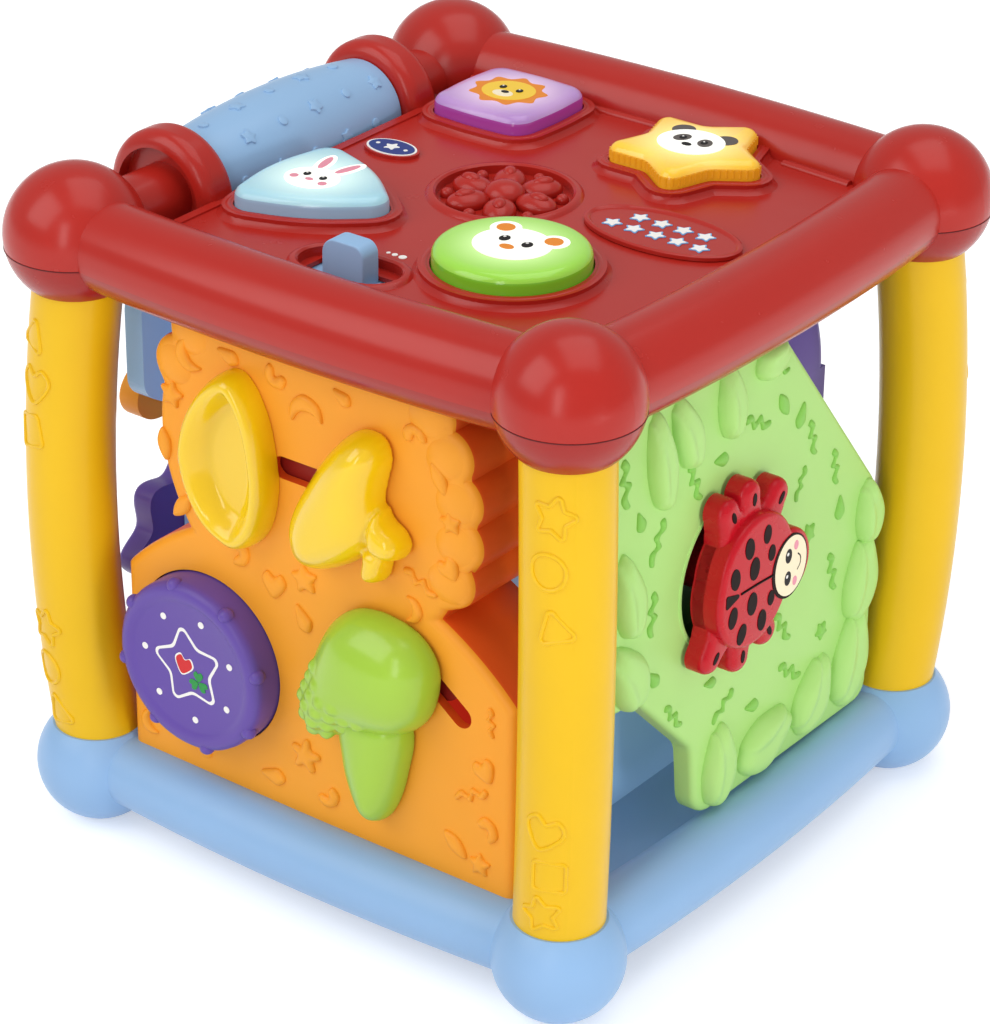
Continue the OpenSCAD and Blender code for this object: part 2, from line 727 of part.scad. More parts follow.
module core_column() {
    inner = core_half - wall;
    boss_len = 14;
    color(0.97 * pale_blue) difference() {
        union() {
            difference() {
                translate([-core_half, -core_half, floor_top])
                    cube([2 * core_half, 2 * core_half, deck_z - floor_top]);
                translate([-inner, -inner, floor_top - 1]) cube([2 * inner, 2 * inner, far]);
            }
            at_corners(core_boss) {
                translate([0, 0, floor_top]) cylinder(r = boss_r, h = boss_len);
                translate([0, 0, deck_z - boss_len]) cylinder(r = boss_r, h = boss_len);
            }
        }
        at_corners(core_boss) cylinder(r = screw_r + fit_gap / 2, h = far);
        panel_screw_places() translate([0, 0, -box_depth - 2 * wall])
            cylinder(r = screw_r + fit_gap, h = 2 * wall + 1);
    }
}

module core_screws() {
    length = 12;
    color(steel) at_corners(core_boss) {
        translate([0, 0, floor_low]) screw(length);
        translate([0, 0, deck_top]) mirror([0, 0, 1]) screw(length);
    }
}

module lead_wires() {
    wire_r = 0.9;
    color("firebrick") for (s = [-1, 1]) translate([lead_at[0] + s * 1.4, lead_at[1], cell_top + wall])
        cylinder(r = wire_r, h = board_low - cell_top - wall);
}

// Screws that hold the panels, driven outward from inside the column
function panel_screw_list() = [
    [FRONT, [[-30, panel_low + 72], [25, panel_low + 89], [5, panel_low + 10]]],
    [GREEN_SIDE, [[-36, panel_low + 92], [33, panel_low + 66], [28, panel_low + 12]]],
    [BACK, [[-30, panel_low + 92], [30, panel_low + 92], [-30, panel_low + 12], [30, panel_low + 12]]],
    [BLUE_SIDE, [[-20, panel_low + 92], [-22, panel_low + 62], [3.5, panel_low + 8]]]];

module panel_screw_places() {
    for (row = panel_screw_list(), p = row[1]) on_face(row[0]) translate([p[0], p[1], 0]) children();
}

module panel_screws() {
    color(steel) panel_screw_places() translate([0, 0, -box_depth - wall]) screw(box_depth - 7);
}

// Bosses that reach from a panel's front wall back to the column
module panel_bosses(a, depth) {
    for (row = panel_screw_list(), p = row[1]) if (row[0] == a)
        translate([p[0], p[1], -box_depth]) difference() {
            cylinder(r = boss_r, h = box_depth - depth + eps);
            translate([0, 0, -1]) cylinder(r = screw_r + fit_gap / 2, h = box_depth - 6);
        }
}

// Orange front panel

// Two-lobed outline with a scalloped upper edge, drawn a given distance in from the outer surface
module orange_outline(inset = 0, scallops = true) {
    intersection() {
        translate(lobe_at) {
            circle(lobe_r - inset);
            if (scallops) for (a = scallop_angles) rotate(a) translate([lobe_r - 2.5, 0]) circle(scallop_r - inset);
        }
        translate([-half, 0]) square([2 * half, panel_high - inset]);
    }
    intersection() {
        translate([0, hill_v]) circle(hill_r - inset);
        translate([-lower_half + inset, panel_low + inset]) square([2 * (lower_half - inset), hill_r]);
    }
}

module pear_slot(r, h) {
    run = pear_travel + pear_slot_spare;
    translate([pear_neck_u - run / 2, pear_slot_v, 0]) stadium(neck_len + run, r, h);
}

module broccoli_slot(r, h, travel = broccoli_travel) {
    c = broccoli_neck + broccoli_dir * travel / 2;
    translate([c[0], c[1], 0]) rotate([0, 0, atan2(broccoli_dir[1], broccoli_dir[0])])
        stadium(neck_len + travel, r, h);
}

module orange_panel() {
    color(orange) on_face(FRONT) {
        difference() {
            translate([0, 0, -box_depth]) linear_extrude(box_depth) orange_outline();
            difference() {
                translate([0, 0, -box_depth - 1]) linear_extrude(box_depth + 1 - wall) orange_outline(wall, false);
                panel_bosses(FRONT, 0);
            }
            translate([drum_at[0], drum_at[1], -2 * wall]) cylinder(r = drum_r + slide_gap, h = 9);
            translate([0, 0, -2 * wall]) {
                pear_slot(slot_w / 2, 9);
                broccoli_slot(slot_w / 2, 9);
                translate([dish_at[0], dish_at[1], 0]) cylinder(r = dish_peg_r + fit_gap, h = 9);
            }
        }
    }
}

// Plate that closes the back of the orange panel
module orange_back() {
    color(0.93 * orange) on_face(FRONT) difference() {
        translate([0, 0, -box_depth]) linear_extrude(2) orange_outline(wall + fit_gap, false);
        for (row = panel_screw_list(), p = row[1]) if (row[0] == FRONT)
            translate([p[0], p[1], -far / 2]) cylinder(r = boss_r + fit_gap, h = far);
    }
}

// Long fruit half with a hollow face
function dish_outline() = spline([[3, 20.5], [-5, 17], [-11, 8], [-13, -3], [-8, -14], [1, -20], [8, -19],
                                  [11.5, -8], [11.5, 3], [8.5, 13]]);

module fruit_dish() {
    o = dish_outline();
    rim = 5.5;
    color([0.96, 0.80, 0.15]) on_face(FRONT) translate([dish_at[0], dish_at[1], 0]) {
        loft([[o, 0], [o, 2], [0.97 * o, 4], [0.9 * o, rim - 0.3], [0.8 * o, rim], [0.72 * o, rim - 0.5],
              [0.62 * o, 3.2], [0.45 * o, 1.9], [0.2 * o, 1.4]]);
        translate([0, 0, -wall - 0.5]) cylinder(r = dish_peg_r, h = wall + 1);
    }
}

function pear_outline() = spline([[8, 18], [1.5, 18.5], [-5, 12], [-11, 4], [-14.5, -6], [-12.5, -14], [-6, -17.5],
                                  [2, -16], [7.5, -11.5], [10, -3], [10, 6], [11.5, 13]]);

module pear() {
    color([0.96, 0.83, 0.21]) on_face(FRONT) {
        translate([pear_at[0], pear_at[1], slider_lift]) {
            puff(pear_outline(), 9.5, 2.5);
            translate([7, -9, 0]) puff(spline([[5, 3], [0, 5.5], [-5, 2], [-4, -4], [2, -4.5], [5, -2]]), 5.5, 1.5, 3);
            translate([3, -15.5, 0]) puff(spline([[2, 4], [-2, 4], [-2.3, -2], [0.5, -4], [2.3, -1]]), 4, 1.5, 3);
        }
        translate([pear_neck_u, pear_slot_v, -wall - slider_lift]) slider_neck();
    }
}

// Neck of a slider piece, reaching through its slot to the retainer behind
module slider_neck() {
    stadium(neck_len, slot_w / 2 - slide_gap, wall + 2 * slider_lift + 1);
}

module retainer() {
    translate([0, 0, -wall - slider_lift - 2]) stadium(neck_len + 3, slot_w / 2 + 2, 2);
}

module pear_retainer() {
    color("lightgray") on_face(FRONT) translate([pear_neck_u, pear_slot_v, 0]) retainer();
}

function crown_outline() = spline([[0, 15.5], [-9, 13], [-15, 6], [-16.5, -1], [-18.5, -8], [-14, -14.5], [-7, -14],
                                   [0, -13], [8, -11.5], [14, -8], [17, -1], [15.5, 7], [9, 13.5]]);

function stalk_outline() = spline([[-8.5, -8], [-7.5, -18], [-5.5, -27], [-1.5, -33.5], [3, -33.5], [6.5, -26],
                                   [8.5, -17], [10.5, -7], [1, -4]]);

module broccoli() {
    color([0.58, 0.80, 0.28]) on_face(FRONT) {
        translate([broccoli_at[0], broccoli_at[1], slider_lift]) {
            puff(crown_outline(), 10.5, 2.5);
            translate([0.5, -18, 0]) puff([for (p = stalk_outline()) p + [0, 18]], 6.5, 2);
        }
        translate([broccoli_neck[0], broccoli_neck[1], -wall - slider_lift])
            rotate([0, 0, atan2(broccoli_dir[1], broccoli_dir[0])]) slider_neck();
    }
}

module broccoli_retainer() {
    color("lightgray") on_face(FRONT) translate([broccoli_neck[0], broccoli_neck[1], 0])
        rotate([0, 0, atan2(broccoli_dir[1], broccoli_dir[0])]) retainer();
}

// Toy drum with a hollowed head and lugs round its rim
module drum() {
    flange_w = -wall - 0.3;
    lug_low = drum_travel + face_gap;
    rim = 2.2;
    color(purple) on_face(FRONT) translate([drum_at[0], drum_at[1], 0]) {
        rotate_extrude() difference() {
            union() {
                translate([0, flange_w - 1]) square([drum_r - rim, drum_out + 1 - flange_w]);
                translate([0, flange_w - 1]) square([drum_r, drum_out - rim + 1 - flange_w]);
                translate([drum_r - rim, drum_out - rim]) intersection() {
                    circle(rim);
                    square(rim);
                }
                translate([0, flange_w - drum_flange_t]) square([drum_r + drum_flange_out, drum_flange_t]);
                translate([0, flange_w - 2.2 * drum_flange_t]) square([6, 2 * drum_flange_t]);
            }
            translate([0, drum_out - 0.9]) square([drum_r - 2 * rim, 9]);
        }
        for (a = [0:45:315]) rotate([0, 0, a + 12]) translate([drum_r - 0.8, 0, lug_low])
            puck(2.2, drum_out - 0.2 - lug_low, 1.2);
    }
}

module drum_switch() {
    body_w = -wall - 0.3 - 2.2 * drum_flange_t - drum_travel - 0.4;
    color("dimgray") on_face(FRONT) translate([drum_at[0], drum_at[1], 0]) {
        translate([0, 0, -box_depth + 2]) cylinder(r = 6, h = box_depth - 5 + body_w);
        translate([0, 0, -box_depth + 2]) cylinder(r = 2, h = box_depth - 2 + body_w);
    }
}

// Green side panel with leaves along its edges

function green_outline() = rounded([[-52, panel_high], [-52, panel_low + 40], [-41, panel_low + 41],
    [-19, panel_low + 19], [-17, panel_low], [lower_half - 1, panel_low], [lower_half - 1, panel_low + 55],
    [8, panel_high]], [3, 6, 5, 6, 7, 5, 12, 2]);

module green_leaves() {
    // Place across, height above the lower edge, length, width and turn of each leaf
    for (p = [[48, 50, 17, 10, 4], [46, 34, 22, 13, -10], [43.5, 14.5, 25, 14, -14], [28, 11.5, 20, 14, -30],
              [9, 8.5, 21, 14, -75], [-9, 11, 21, 12, -4], [-44.5, 49, 19, 12, 28], [-45, 68, 22, 10, 12],
              [-35, 95, 25, 9, 10], [-26, 98, 20, 9, 20], [-10, 99, 19, 9, 8], [5, 103, 12, 9, -80]])
        translate([p[0], panel_low + p[1], -1]) rotate([0, 0, p[4]]) leaf(p[2], p[3]);
}

module green_panel() {
    color(leaf_green) on_face(GREEN_SIDE) {
        difference() {
            union() {
                translate([0, 0, -flat_panel_t]) linear_extrude(flat_panel_t) polygon(green_outline());
                green_leaves();
                translate([ladybird_at[0], ladybird_at[1], -recess_depth - wall])
                    cylinder(r = recess_r + wall, h = recess_depth + wall - 1);
                panel_bosses(GREEN_SIDE, flat_panel_t);
            }
            translate([ladybird_at[0], ladybird_at[1], -recess_depth]) cylinder(r = recess_r, h = far);
            translate([ladybird_at[0], ladybird_at[1], -far / 2]) cylinder(r = pin_r + fit_gap, h = far / 2);
        }
    }
}

module ladybird() {
    low = ladybird_out - ladybird_t;
    edge = 1.6;
    color([0.78, 0.13, 0.18]) on_face(GREEN_SIDE) translate([ladybird_at[0], ladybird_at[1], 0]) difference() {
        union() {
            translate([ladybird_mid[0], ladybird_mid[1], low]) puck(14.4, ladybird_t, edge);
            translate([ladybird_head[0], ladybird_head[1], low + 0.3]) puck(7.6, ladybird_t - 0.8, edge);
            for (a = leg_angles) rotate_about(ladybird_mid, a) {
                translate([18.9, 0, low + 0.6]) cylinder(r = 3.5, h = ladybird_t - 2);
                translate([10, -2.6, low + 0.9]) cube([8.9, 5.2, ladybird_t - 2.7]);
            }
            translate([0, 0, -recess_depth + face_gap]) cylinder(r = 7, h = recess_depth + low);
        }
        translate([0, 0, -far / 2]) cylinder(r = pin_r + run_gap, h = far / 2 + ladybird_out - 2.5);
    }
}

// Pin with a head behind the panel
module headed_pin(low, high) {
    translate([0, 0, low - pin_head_t]) cylinder(r = pin_head_r, h = pin_head_t);
    translate([0, 0, low]) cylinder(r = pin_r, h = high - low);
}

module ladybird_pin() {
    color(steel) on_face(GREEN_SIDE) translate([ladybird_at[0], ladybird_at[1], 0])
        headed_pin(-recess_depth - wall, ladybird_out - 3);
}

// Pale-blue side panel with two meshing wheels and a spinner

function blue_outline() = rounded([[-50, blue_high], [-50, panel_low + 77], [-33, panel_low + 67], [-33, panel_low],
    [33, panel_low], [33, panel_low + 67], [50, panel_low + 77], [50, blue_high]], [8, 6, 10, 5, 5, 10, 6, 8]);

module blue_panel() {
    color(pale_blue) on_face(BLUE_SIDE) difference() {
        union() {
            translate([0, 0, -flat_panel_t]) linear_extrude(flat_panel_t) polygon(blue_outline());
            panel_bosses(BLUE_SIDE, flat_panel_t);
            // Moulded cloud
            for (p = [[-36, 84, 8], [-26, 88, 10], [-15, 85, 8], [-25, 81, 9]])
                translate([p[0], panel_low + p[1], -1]) puck(p[2], 2.6, 1.5);
        }
        for (p = [[wheel_u[0], wheel_v], [wheel_u[1], wheel_v], spinner_at])
            translate([p[0], p[1], -far / 2]) cylinder(r = pin_r + fit_gap, h = far);
    }
}

module wheel(u, phase) {
    translate([u, wheel_v, face_gap]) difference() {
        union() {
            linear_extrude(wheel_t) polygon(lobed(wheel_pitch_r, lobe_amp, wheel_lobes, phase));
            puck(0.55 * wheel_pitch_r, wheel_t + 2.5, 2);
        }
        translate([0, 0, -1]) cylinder(r = pin_r + run_gap, h = wheel_t + 2);
    }
}

module purple_wheel() { color(purple) on_face(BLUE_SIDE) wheel(wheel_u[0], 0); }

// Turned so that a lobe of one wheel faces a gap of the other
module yellow_wheel() { color(yellow) on_face(BLUE_SIDE) wheel(wheel_u[1], 180 / wheel_lobes); }

module wheel_pins() {
    color(steel) on_face(BLUE_SIDE) for (u = wheel_u) translate([u, wheel_v, 0])
        headed_pin(-flat_panel_t, wheel_t + face_gap);
}

module spinner() {
    amp = 0.33 * spinner_r;
    color(orange) on_face(BLUE_SIDE) translate([spinner_at[0], spinner_at[1], face_gap]) difference() {
        union() {
            linear_extrude(wheel_t) polygon(lobed(spinner_r - amp, amp, 3, spinner_phase, 20));
            puck(0.4 * spinner_r, wheel_t + 3, 2);
        }
        translate([0, 0, -1]) cylinder(r = pin_r + run_gap, h = wheel_t + 2);
    }
}

module spinner_pin() {
    color(steel) on_face(BLUE_SIDE) translate([spinner_at[0], spinner_at[1], 0])
        headed_pin(-flat_panel_t, wheel_t + face_gap);
}

// Purple back panel with a dial

module arch_form(shrink, depth, front) {
    arch_v = panel_high - 0.9 * core_half;
    translate([0, 0, -depth]) intersection() {
        union() {
            translate([0, arch_v, 0]) puck(core_half - shrink, depth - front);
            translate([-core_half + shrink, panel_low + shrink, 0])
                cube([2 * (core_half - shrink), arch_v - panel_low - shrink, depth - front]);
        }
        translate([-half, 0, -1]) cube([2 * half, panel_high - shrink, far]);
    }
}

module purple_panel() {
    color(purple) on_face(BACK) {
        difference() {
            arch_form(0, box_depth, 0);
            difference() {
                arch_form(wall, box_depth + eps, wall);
                panel_bosses(BACK, 0);
            }
            translate([dial_at[0], dial_at[1], -2 * wall]) cylinder(r = pin_r + fit_gap, h = far);
        }
    }
}

module dial() {
    color(yellow) on_face(BACK) translate([dial_at[0], dial_at[1], face_gap]) difference() {
        union() {
            linear_extrude(dial_t - 3) polygon(lobed(dial_r - 1.4, 1.4, 10));
            puck(0.62 * dial_r, dial_t, 2.5);
        }
        translate([0, 0, -1]) cylinder(r = pin_r + run_gap, h = dial_t - 1);
    }
}

module dial_pin() {
    color(steel) on_face(BACK) translate([dial_at[0], dial_at[1], 0]) headed_pin(-wall, dial_t - 2.5);
}

top_cover();
top_underframe();
roller();
roller_axle();
button_round();
button_square();
button_triangle();
button_star();
dome_round();
dome_square();
dome_triangle();
dome_star();
circuit_board();
light_emitters();
loudspeaker();
volume_slider();
top_screws();
post_front_right();
post_front_left();
post_back_right();
post_back_left();
base_tray();
base_cover();
battery_door();
battery_door_screw();
battery_cells();
battery_contacts();
base_screws();
core_column();
core_screws();
lead_wires();
orange_panel();
orange_back();
fruit_dish();
pear();
pear_retainer();
broccoli();
broccoli_retainer();
drum();
drum_switch();
green_panel();
ladybird();
ladybird_pin();
blue_panel();
purple_wheel();
yellow_wheel();
wheel_pins();
spinner();
spinner_pin();
purple_panel();
dial();
dial_pin();
panel_screws();
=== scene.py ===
"""Looks of a baby's activity cube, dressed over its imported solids.

Sizes are in millimetres, in the same frame as the solids, and become metres when a piece is placed.
Each side of the cube has a seat: u runs across, v runs up and w runs out of its face.
"""
import json
import logging
import math
from dataclasses import dataclass, field
from enum import Enum

import bpy
import numpy as np
from mathutils import Matrix, Vector

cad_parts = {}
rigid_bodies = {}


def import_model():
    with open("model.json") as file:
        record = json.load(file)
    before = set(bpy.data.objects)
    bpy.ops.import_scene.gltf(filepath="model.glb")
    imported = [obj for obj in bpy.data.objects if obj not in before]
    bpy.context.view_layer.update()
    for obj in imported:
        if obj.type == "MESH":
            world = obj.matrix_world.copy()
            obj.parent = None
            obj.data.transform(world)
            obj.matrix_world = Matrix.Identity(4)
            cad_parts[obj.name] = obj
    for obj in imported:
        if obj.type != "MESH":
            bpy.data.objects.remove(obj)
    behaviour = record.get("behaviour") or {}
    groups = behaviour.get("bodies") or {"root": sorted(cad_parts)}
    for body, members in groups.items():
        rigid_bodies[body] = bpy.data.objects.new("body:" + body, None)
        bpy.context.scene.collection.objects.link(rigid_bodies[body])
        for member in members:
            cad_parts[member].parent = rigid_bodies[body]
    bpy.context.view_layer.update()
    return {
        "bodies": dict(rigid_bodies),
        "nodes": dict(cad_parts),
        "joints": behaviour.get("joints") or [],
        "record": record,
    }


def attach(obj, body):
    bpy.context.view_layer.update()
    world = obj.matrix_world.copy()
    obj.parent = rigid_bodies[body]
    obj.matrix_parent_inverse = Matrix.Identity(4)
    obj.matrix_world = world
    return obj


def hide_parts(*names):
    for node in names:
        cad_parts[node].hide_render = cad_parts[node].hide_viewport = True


LOG = logging.getLogger("activity_cube")
MM = 0.001
FRAME_BODY = "frame"
IMAGE_WIDTH = 990
IMAGE_HEIGHT = 1024

Point = tuple[float, float]
Outline = list[Point]
Path3 = list[tuple[float, float, float]]
Colour = tuple[int, int, int]
Disc = tuple[Vector, float, tuple[float, ...]]

# Heights and planes shared with the solids
PANEL_FACE = 66.0
PANEL_LOW = 23.0
PANEL_HIGH = 132.8
BOX_DEPTH = 24.0
PLATE_TOP = 145.0
WALL = 2.2

# Edges of soft forms stay smooth up to this angle, in degrees
SOFT_ANGLE = 80.0

# Thickness of an ink film, and how deep the lowest one is keyed into its face
FILM = 0.07
INK_ROOT = 0.25


class Side(Enum):
    """The faces of the cube that pieces sit on."""

    FRONT = "front"
    RIGHT = "right"
    BACK = "back"
    LEFT = "left"
    TOP = "top"

    @property
    def matrix(self) -> Matrix:
        """Matrix that takes u, v, w in millimetres to the cube's frame in metres."""
        scale = Matrix.Scale(MM, 4)
        if self is Side.TOP:
            return scale @ Matrix.Translation((0, 0, PLATE_TOP))
        turns = {Side.FRONT: 0, Side.RIGHT: 90, Side.BACK: 180, Side.LEFT: 270}
        upright = Matrix.Rotation(math.radians(90), 4, "X")
        out = Matrix.Translation((0, -PANEL_FACE, 0))
        return scale @ Matrix.Rotation(math.radians(turns[self]), 4, "Z") @ out @ upright


def seat(side: Side, u: float = 0.0, v: float = 0.0, w: float = 0.0, turn: float = 0.0) -> Matrix:
    """Place on a side of the cube.

    Args:
        side: The face that carries the piece.
        u: Distance across the face.
        v: Height on the face.
        w: Distance out of the face.
        turn: Turn about the outward direction, in degrees.

    Returns:
        The matrix from the piece's own millimetres to the cube's frame.
    """
    return side.matrix @ Matrix.Translation((u, v, w)) @ Matrix.Rotation(math.radians(turn), 4, "Z")


# Outlines


def polar(reach: float, turn: float, centre: Point = (0.0, 0.0)) -> Point:
    """Point at a distance from a centre, in a direction given in degrees."""
    a = math.radians(turn)
    return (centre[0] + reach * math.cos(a), centre[1] + reach * math.sin(a))


def circle(radius: float, count: int = 64, centre: Point = (0.0, 0.0)) -> Outline:
    """Points of a circle, counter-clockwise."""
    return ellipse(radius, radius, count, centre)


def ellipse(across: float, up: float, count: int = 64, centre: Point = (0.0, 0.0),
            turn: float = 0.0) -> Outline:
    """Points of an ellipse.

    Args:
        across: Half width.
        up: Half height.
        count: Number of points.
        centre: Middle of the ellipse.
        turn: Turn in degrees.

    Returns:
        The points, counter-clockwise.
    """
    c, s = math.cos(math.radians(turn)), math.sin(math.radians(turn))
    points = []
    for i in range(count):
        a = 2 * math.pi * i / count
        x, y = across * math.cos(a), up * math.sin(a)
        points.append((centre[0] + c * x - s * y, centre[1] + s * x + c * y))
    return points


def curve(points: Outline, steps: int = 8, closed: bool = True) -> Outline:
    """Smooth curve through points.

    Args:
        points: The points it goes through.
        steps: Points for each stretch.
        closed: Whether it joins up.

    Returns:
        The points of the curve.
    """
    n = len(points)
    ends = n if closed else n - 1
    made = []
    for i in range(ends):
        if closed:
            a, b, c, d = (points[(i + k - 1) % n] for k in range(4))
        else:
            a, b = points[max(i - 1, 0)], points[i]
            c, d = points[i + 1], points[min(i + 2, n - 1)]
        for k in range(steps):
            t = k / steps
            made.append(tuple(
                0.5 * (2 * b[j] + (c[j] - a[j]) * t + (2 * a[j] - 5 * b[j] + 4 * c[j] - d[j]) * t * t
                       + (3 * b[j] - a[j] - 3 * c[j] + d[j]) * t ** 3) for j in (0, 1)))
    if not closed:
        made.append(points[-1])
    return made


def moved(points: Outline, at: Point = (0.0, 0.0), turn: float = 0.0, scale: float = 1.0) -> Outline:
    """The points scaled, turned by degrees and moved."""
    c, s = scale * math.cos(math.radians(turn)), scale * math.sin(math.radians(turn))
    return [(at[0] + c * x - s * y, at[1] + s * x + c * y) for x, y in points]


def pointed(reach: float, share: float, count: int, turn: float = 0.0) -> Outline:
    """Corners at two reaches by turns.

    Args:
        reach: Distance of the first corner from the middle.
        share: The second corner's share of that distance.
        count: Number of corners of each kind.
        turn: Direction of the first corner, in degrees.

    Returns:
        The corners, counter-clockwise.
    """
    return [polar(reach * (share if i % 2 else 1.0), 180 / count * i + turn) for i in range(2 * count)]


def star(reach: float, waist: float, turn: float = 90.0) -> Outline:
    """Corners of a five-pointed star; waist is the inner share of its reach."""
    return pointed(reach, waist, 5, turn)


def heart(size: float) -> Outline:
    """Heart outline of the given half width.

    Args:
        size: Half its width.

    Returns:
        The points, counter-clockwise.
    """
    shape = [(0, -1.05), (0.75, -0.35), (1.0, 0.3), (0.55, 0.85),
             (0, 0.5), (-0.55, 0.85), (-1.0, 0.3), (-0.75, -0.35)]
    return [(size * x, size * y) for x, y in curve(shape, 5)]


def grown(points: Outline, distance: float) -> Outline:
    """The counter-clockwise outline with every edge moved outward.

    Args:
        points: The corners, counter-clockwise.
        distance: How far the edges move.

    Returns:
        The moved corners.
    """
    n = len(points)
    made = []
    for i in range(n):
        p0, p1, p2 = (Vector(points[(i + k) % n]) for k in (-1, 0, 1))
        e0, e1 = (p1 - p0).normalized(), (p2 - p1).normalized()
        n0, n1 = Vector((e0.y, -e0.x)), Vector((e1.y, -e1.x))
        made.append(tuple(p1 + (n0 + n1) * distance / (1 + n0.dot(n1))))
    return made


def rounded(points: Outline, radii: list[float], steps: int = 10) -> Outline:
    """Rounds the corners of an outline.

    Args:
        points: The corners.
        radii: A radius for each corner, repeated where there are fewer.
        steps: Points on each rounded corner.

    Returns:
        The points of the rounded outline.
    """
    n = len(points)
    made = []
    for i in range(n):
        p0, p1, p2 = (Vector(points[(i + k) % n]) for k in (-1, 0, 1))
        r = radii[i % len(radii)]
        u, v = (p0 - p1).normalized(), (p2 - p1).normalized()
        opening = math.acos(max(-1.0, min(1.0, u.dot(v))))
        c = p1 + (u + v).normalized() * r / math.sin(opening / 2)
        s, e = p1 + u * r / math.tan(opening / 2) - c, p1 + v * r / math.tan(opening / 2) - c
        a0 = math.atan2(s.y, s.x)
        sweep = math.atan2(s.x * e.y - s.y * e.x, s.dot(e))
        made += [(c.x + r * math.cos(a0 + sweep * k / steps), c.y + r * math.sin(a0 + sweep * k / steps))
                 for k in range(steps + 1)]
    return made


def stadium(length: float, radius: float, at: Point = (0.0, 0.0), turn: float = 0.0) -> Outline:
    """Outline of a slot with round ends; length is between the centres of its ends."""
    half = [polar(radius, -90 + 15 * k, (length / 2, 0.0)) for k in range(13)]
    return moved(half + [(-x, -y) for x, y in half], at, turn)


def bowed(half: float, bow: float, at: float) -> float:
    """How far a bowed line stands out of its ends.

    Args:
        half: Half the distance between its ends.
        bow: How far its middle stands out.
        at: Distance from its middle.

    Returns:
        The distance out of its ends.
    """
    bend = (half * half + bow * bow) / (2 * bow)
    return bow - bend + math.sqrt(bend * bend - at * at)


def ray_exit(eye: Vector, d: Vector, centre: Vector, radius: float, box: tuple[float, ...]) -> float:
    """Distance at which a ray leaves a disc that is trimmed by a box, or 0 where it misses.

    Args:
        eye: Start of the ray.
        d: Its direction.
        centre: Middle of the disc.
        radius: Radius of the disc.
        box: Lowest and highest u and v of the box.

    Returns:
        The distance along the ray.
    """
    to = centre - eye
    along = to.dot(d)
    apart = to.length_squared - along * along
    if apart > radius * radius:
        return 0.0
    chord = math.sqrt(radius * radius - apart)
    enter, leave = along - chord, along + chord
    for axis, (low, high) in enumerate(((box[0], box[2]), (box[1], box[3]))):
        if abs(d[axis]) < 1e-9:
            continue
        hits = sorted(((low - eye[axis]) / d[axis], (high - eye[axis]) / d[axis]))
        enter, leave = max(enter, hits[0]), min(leave, hits[1])
    return leave if leave > max(enter, 0.0) else 0.0


def outer_edge(eye: Vector, discs: list[Disc], angles: list[float]) -> Outline:
    """Outer edge of overlapping discs, seen from a point inside them.

    Args:
        eye: The point.
        discs: Middle, radius and trimming box of each disc.
        angles: Directions in which to look, in radians.

    Returns:
        A point of the edge for each direction.
    """
    made = []
    for a in angles:
        d = Vector((math.cos(a), math.sin(a)))
        made.append(tuple(eye + d * max(ray_exit(eye, d, *disc) for disc in discs)))
    return made


# Finishes


def linear(colour: Colour) -> tuple[float, float, float, float]:
    """Linear colour of an sRGB colour given as 0 to 255.

    Args:
        colour: The sRGB colour.

    Returns:
        The linear colour, with full alpha.
    """
    made = []
    for channel in colour:
        c = channel / 255
        made.append(c / 12.92 if c <= 0.04045 else ((c + 0.055) / 1.055) ** 2.4)
    return (*made, 1.0)


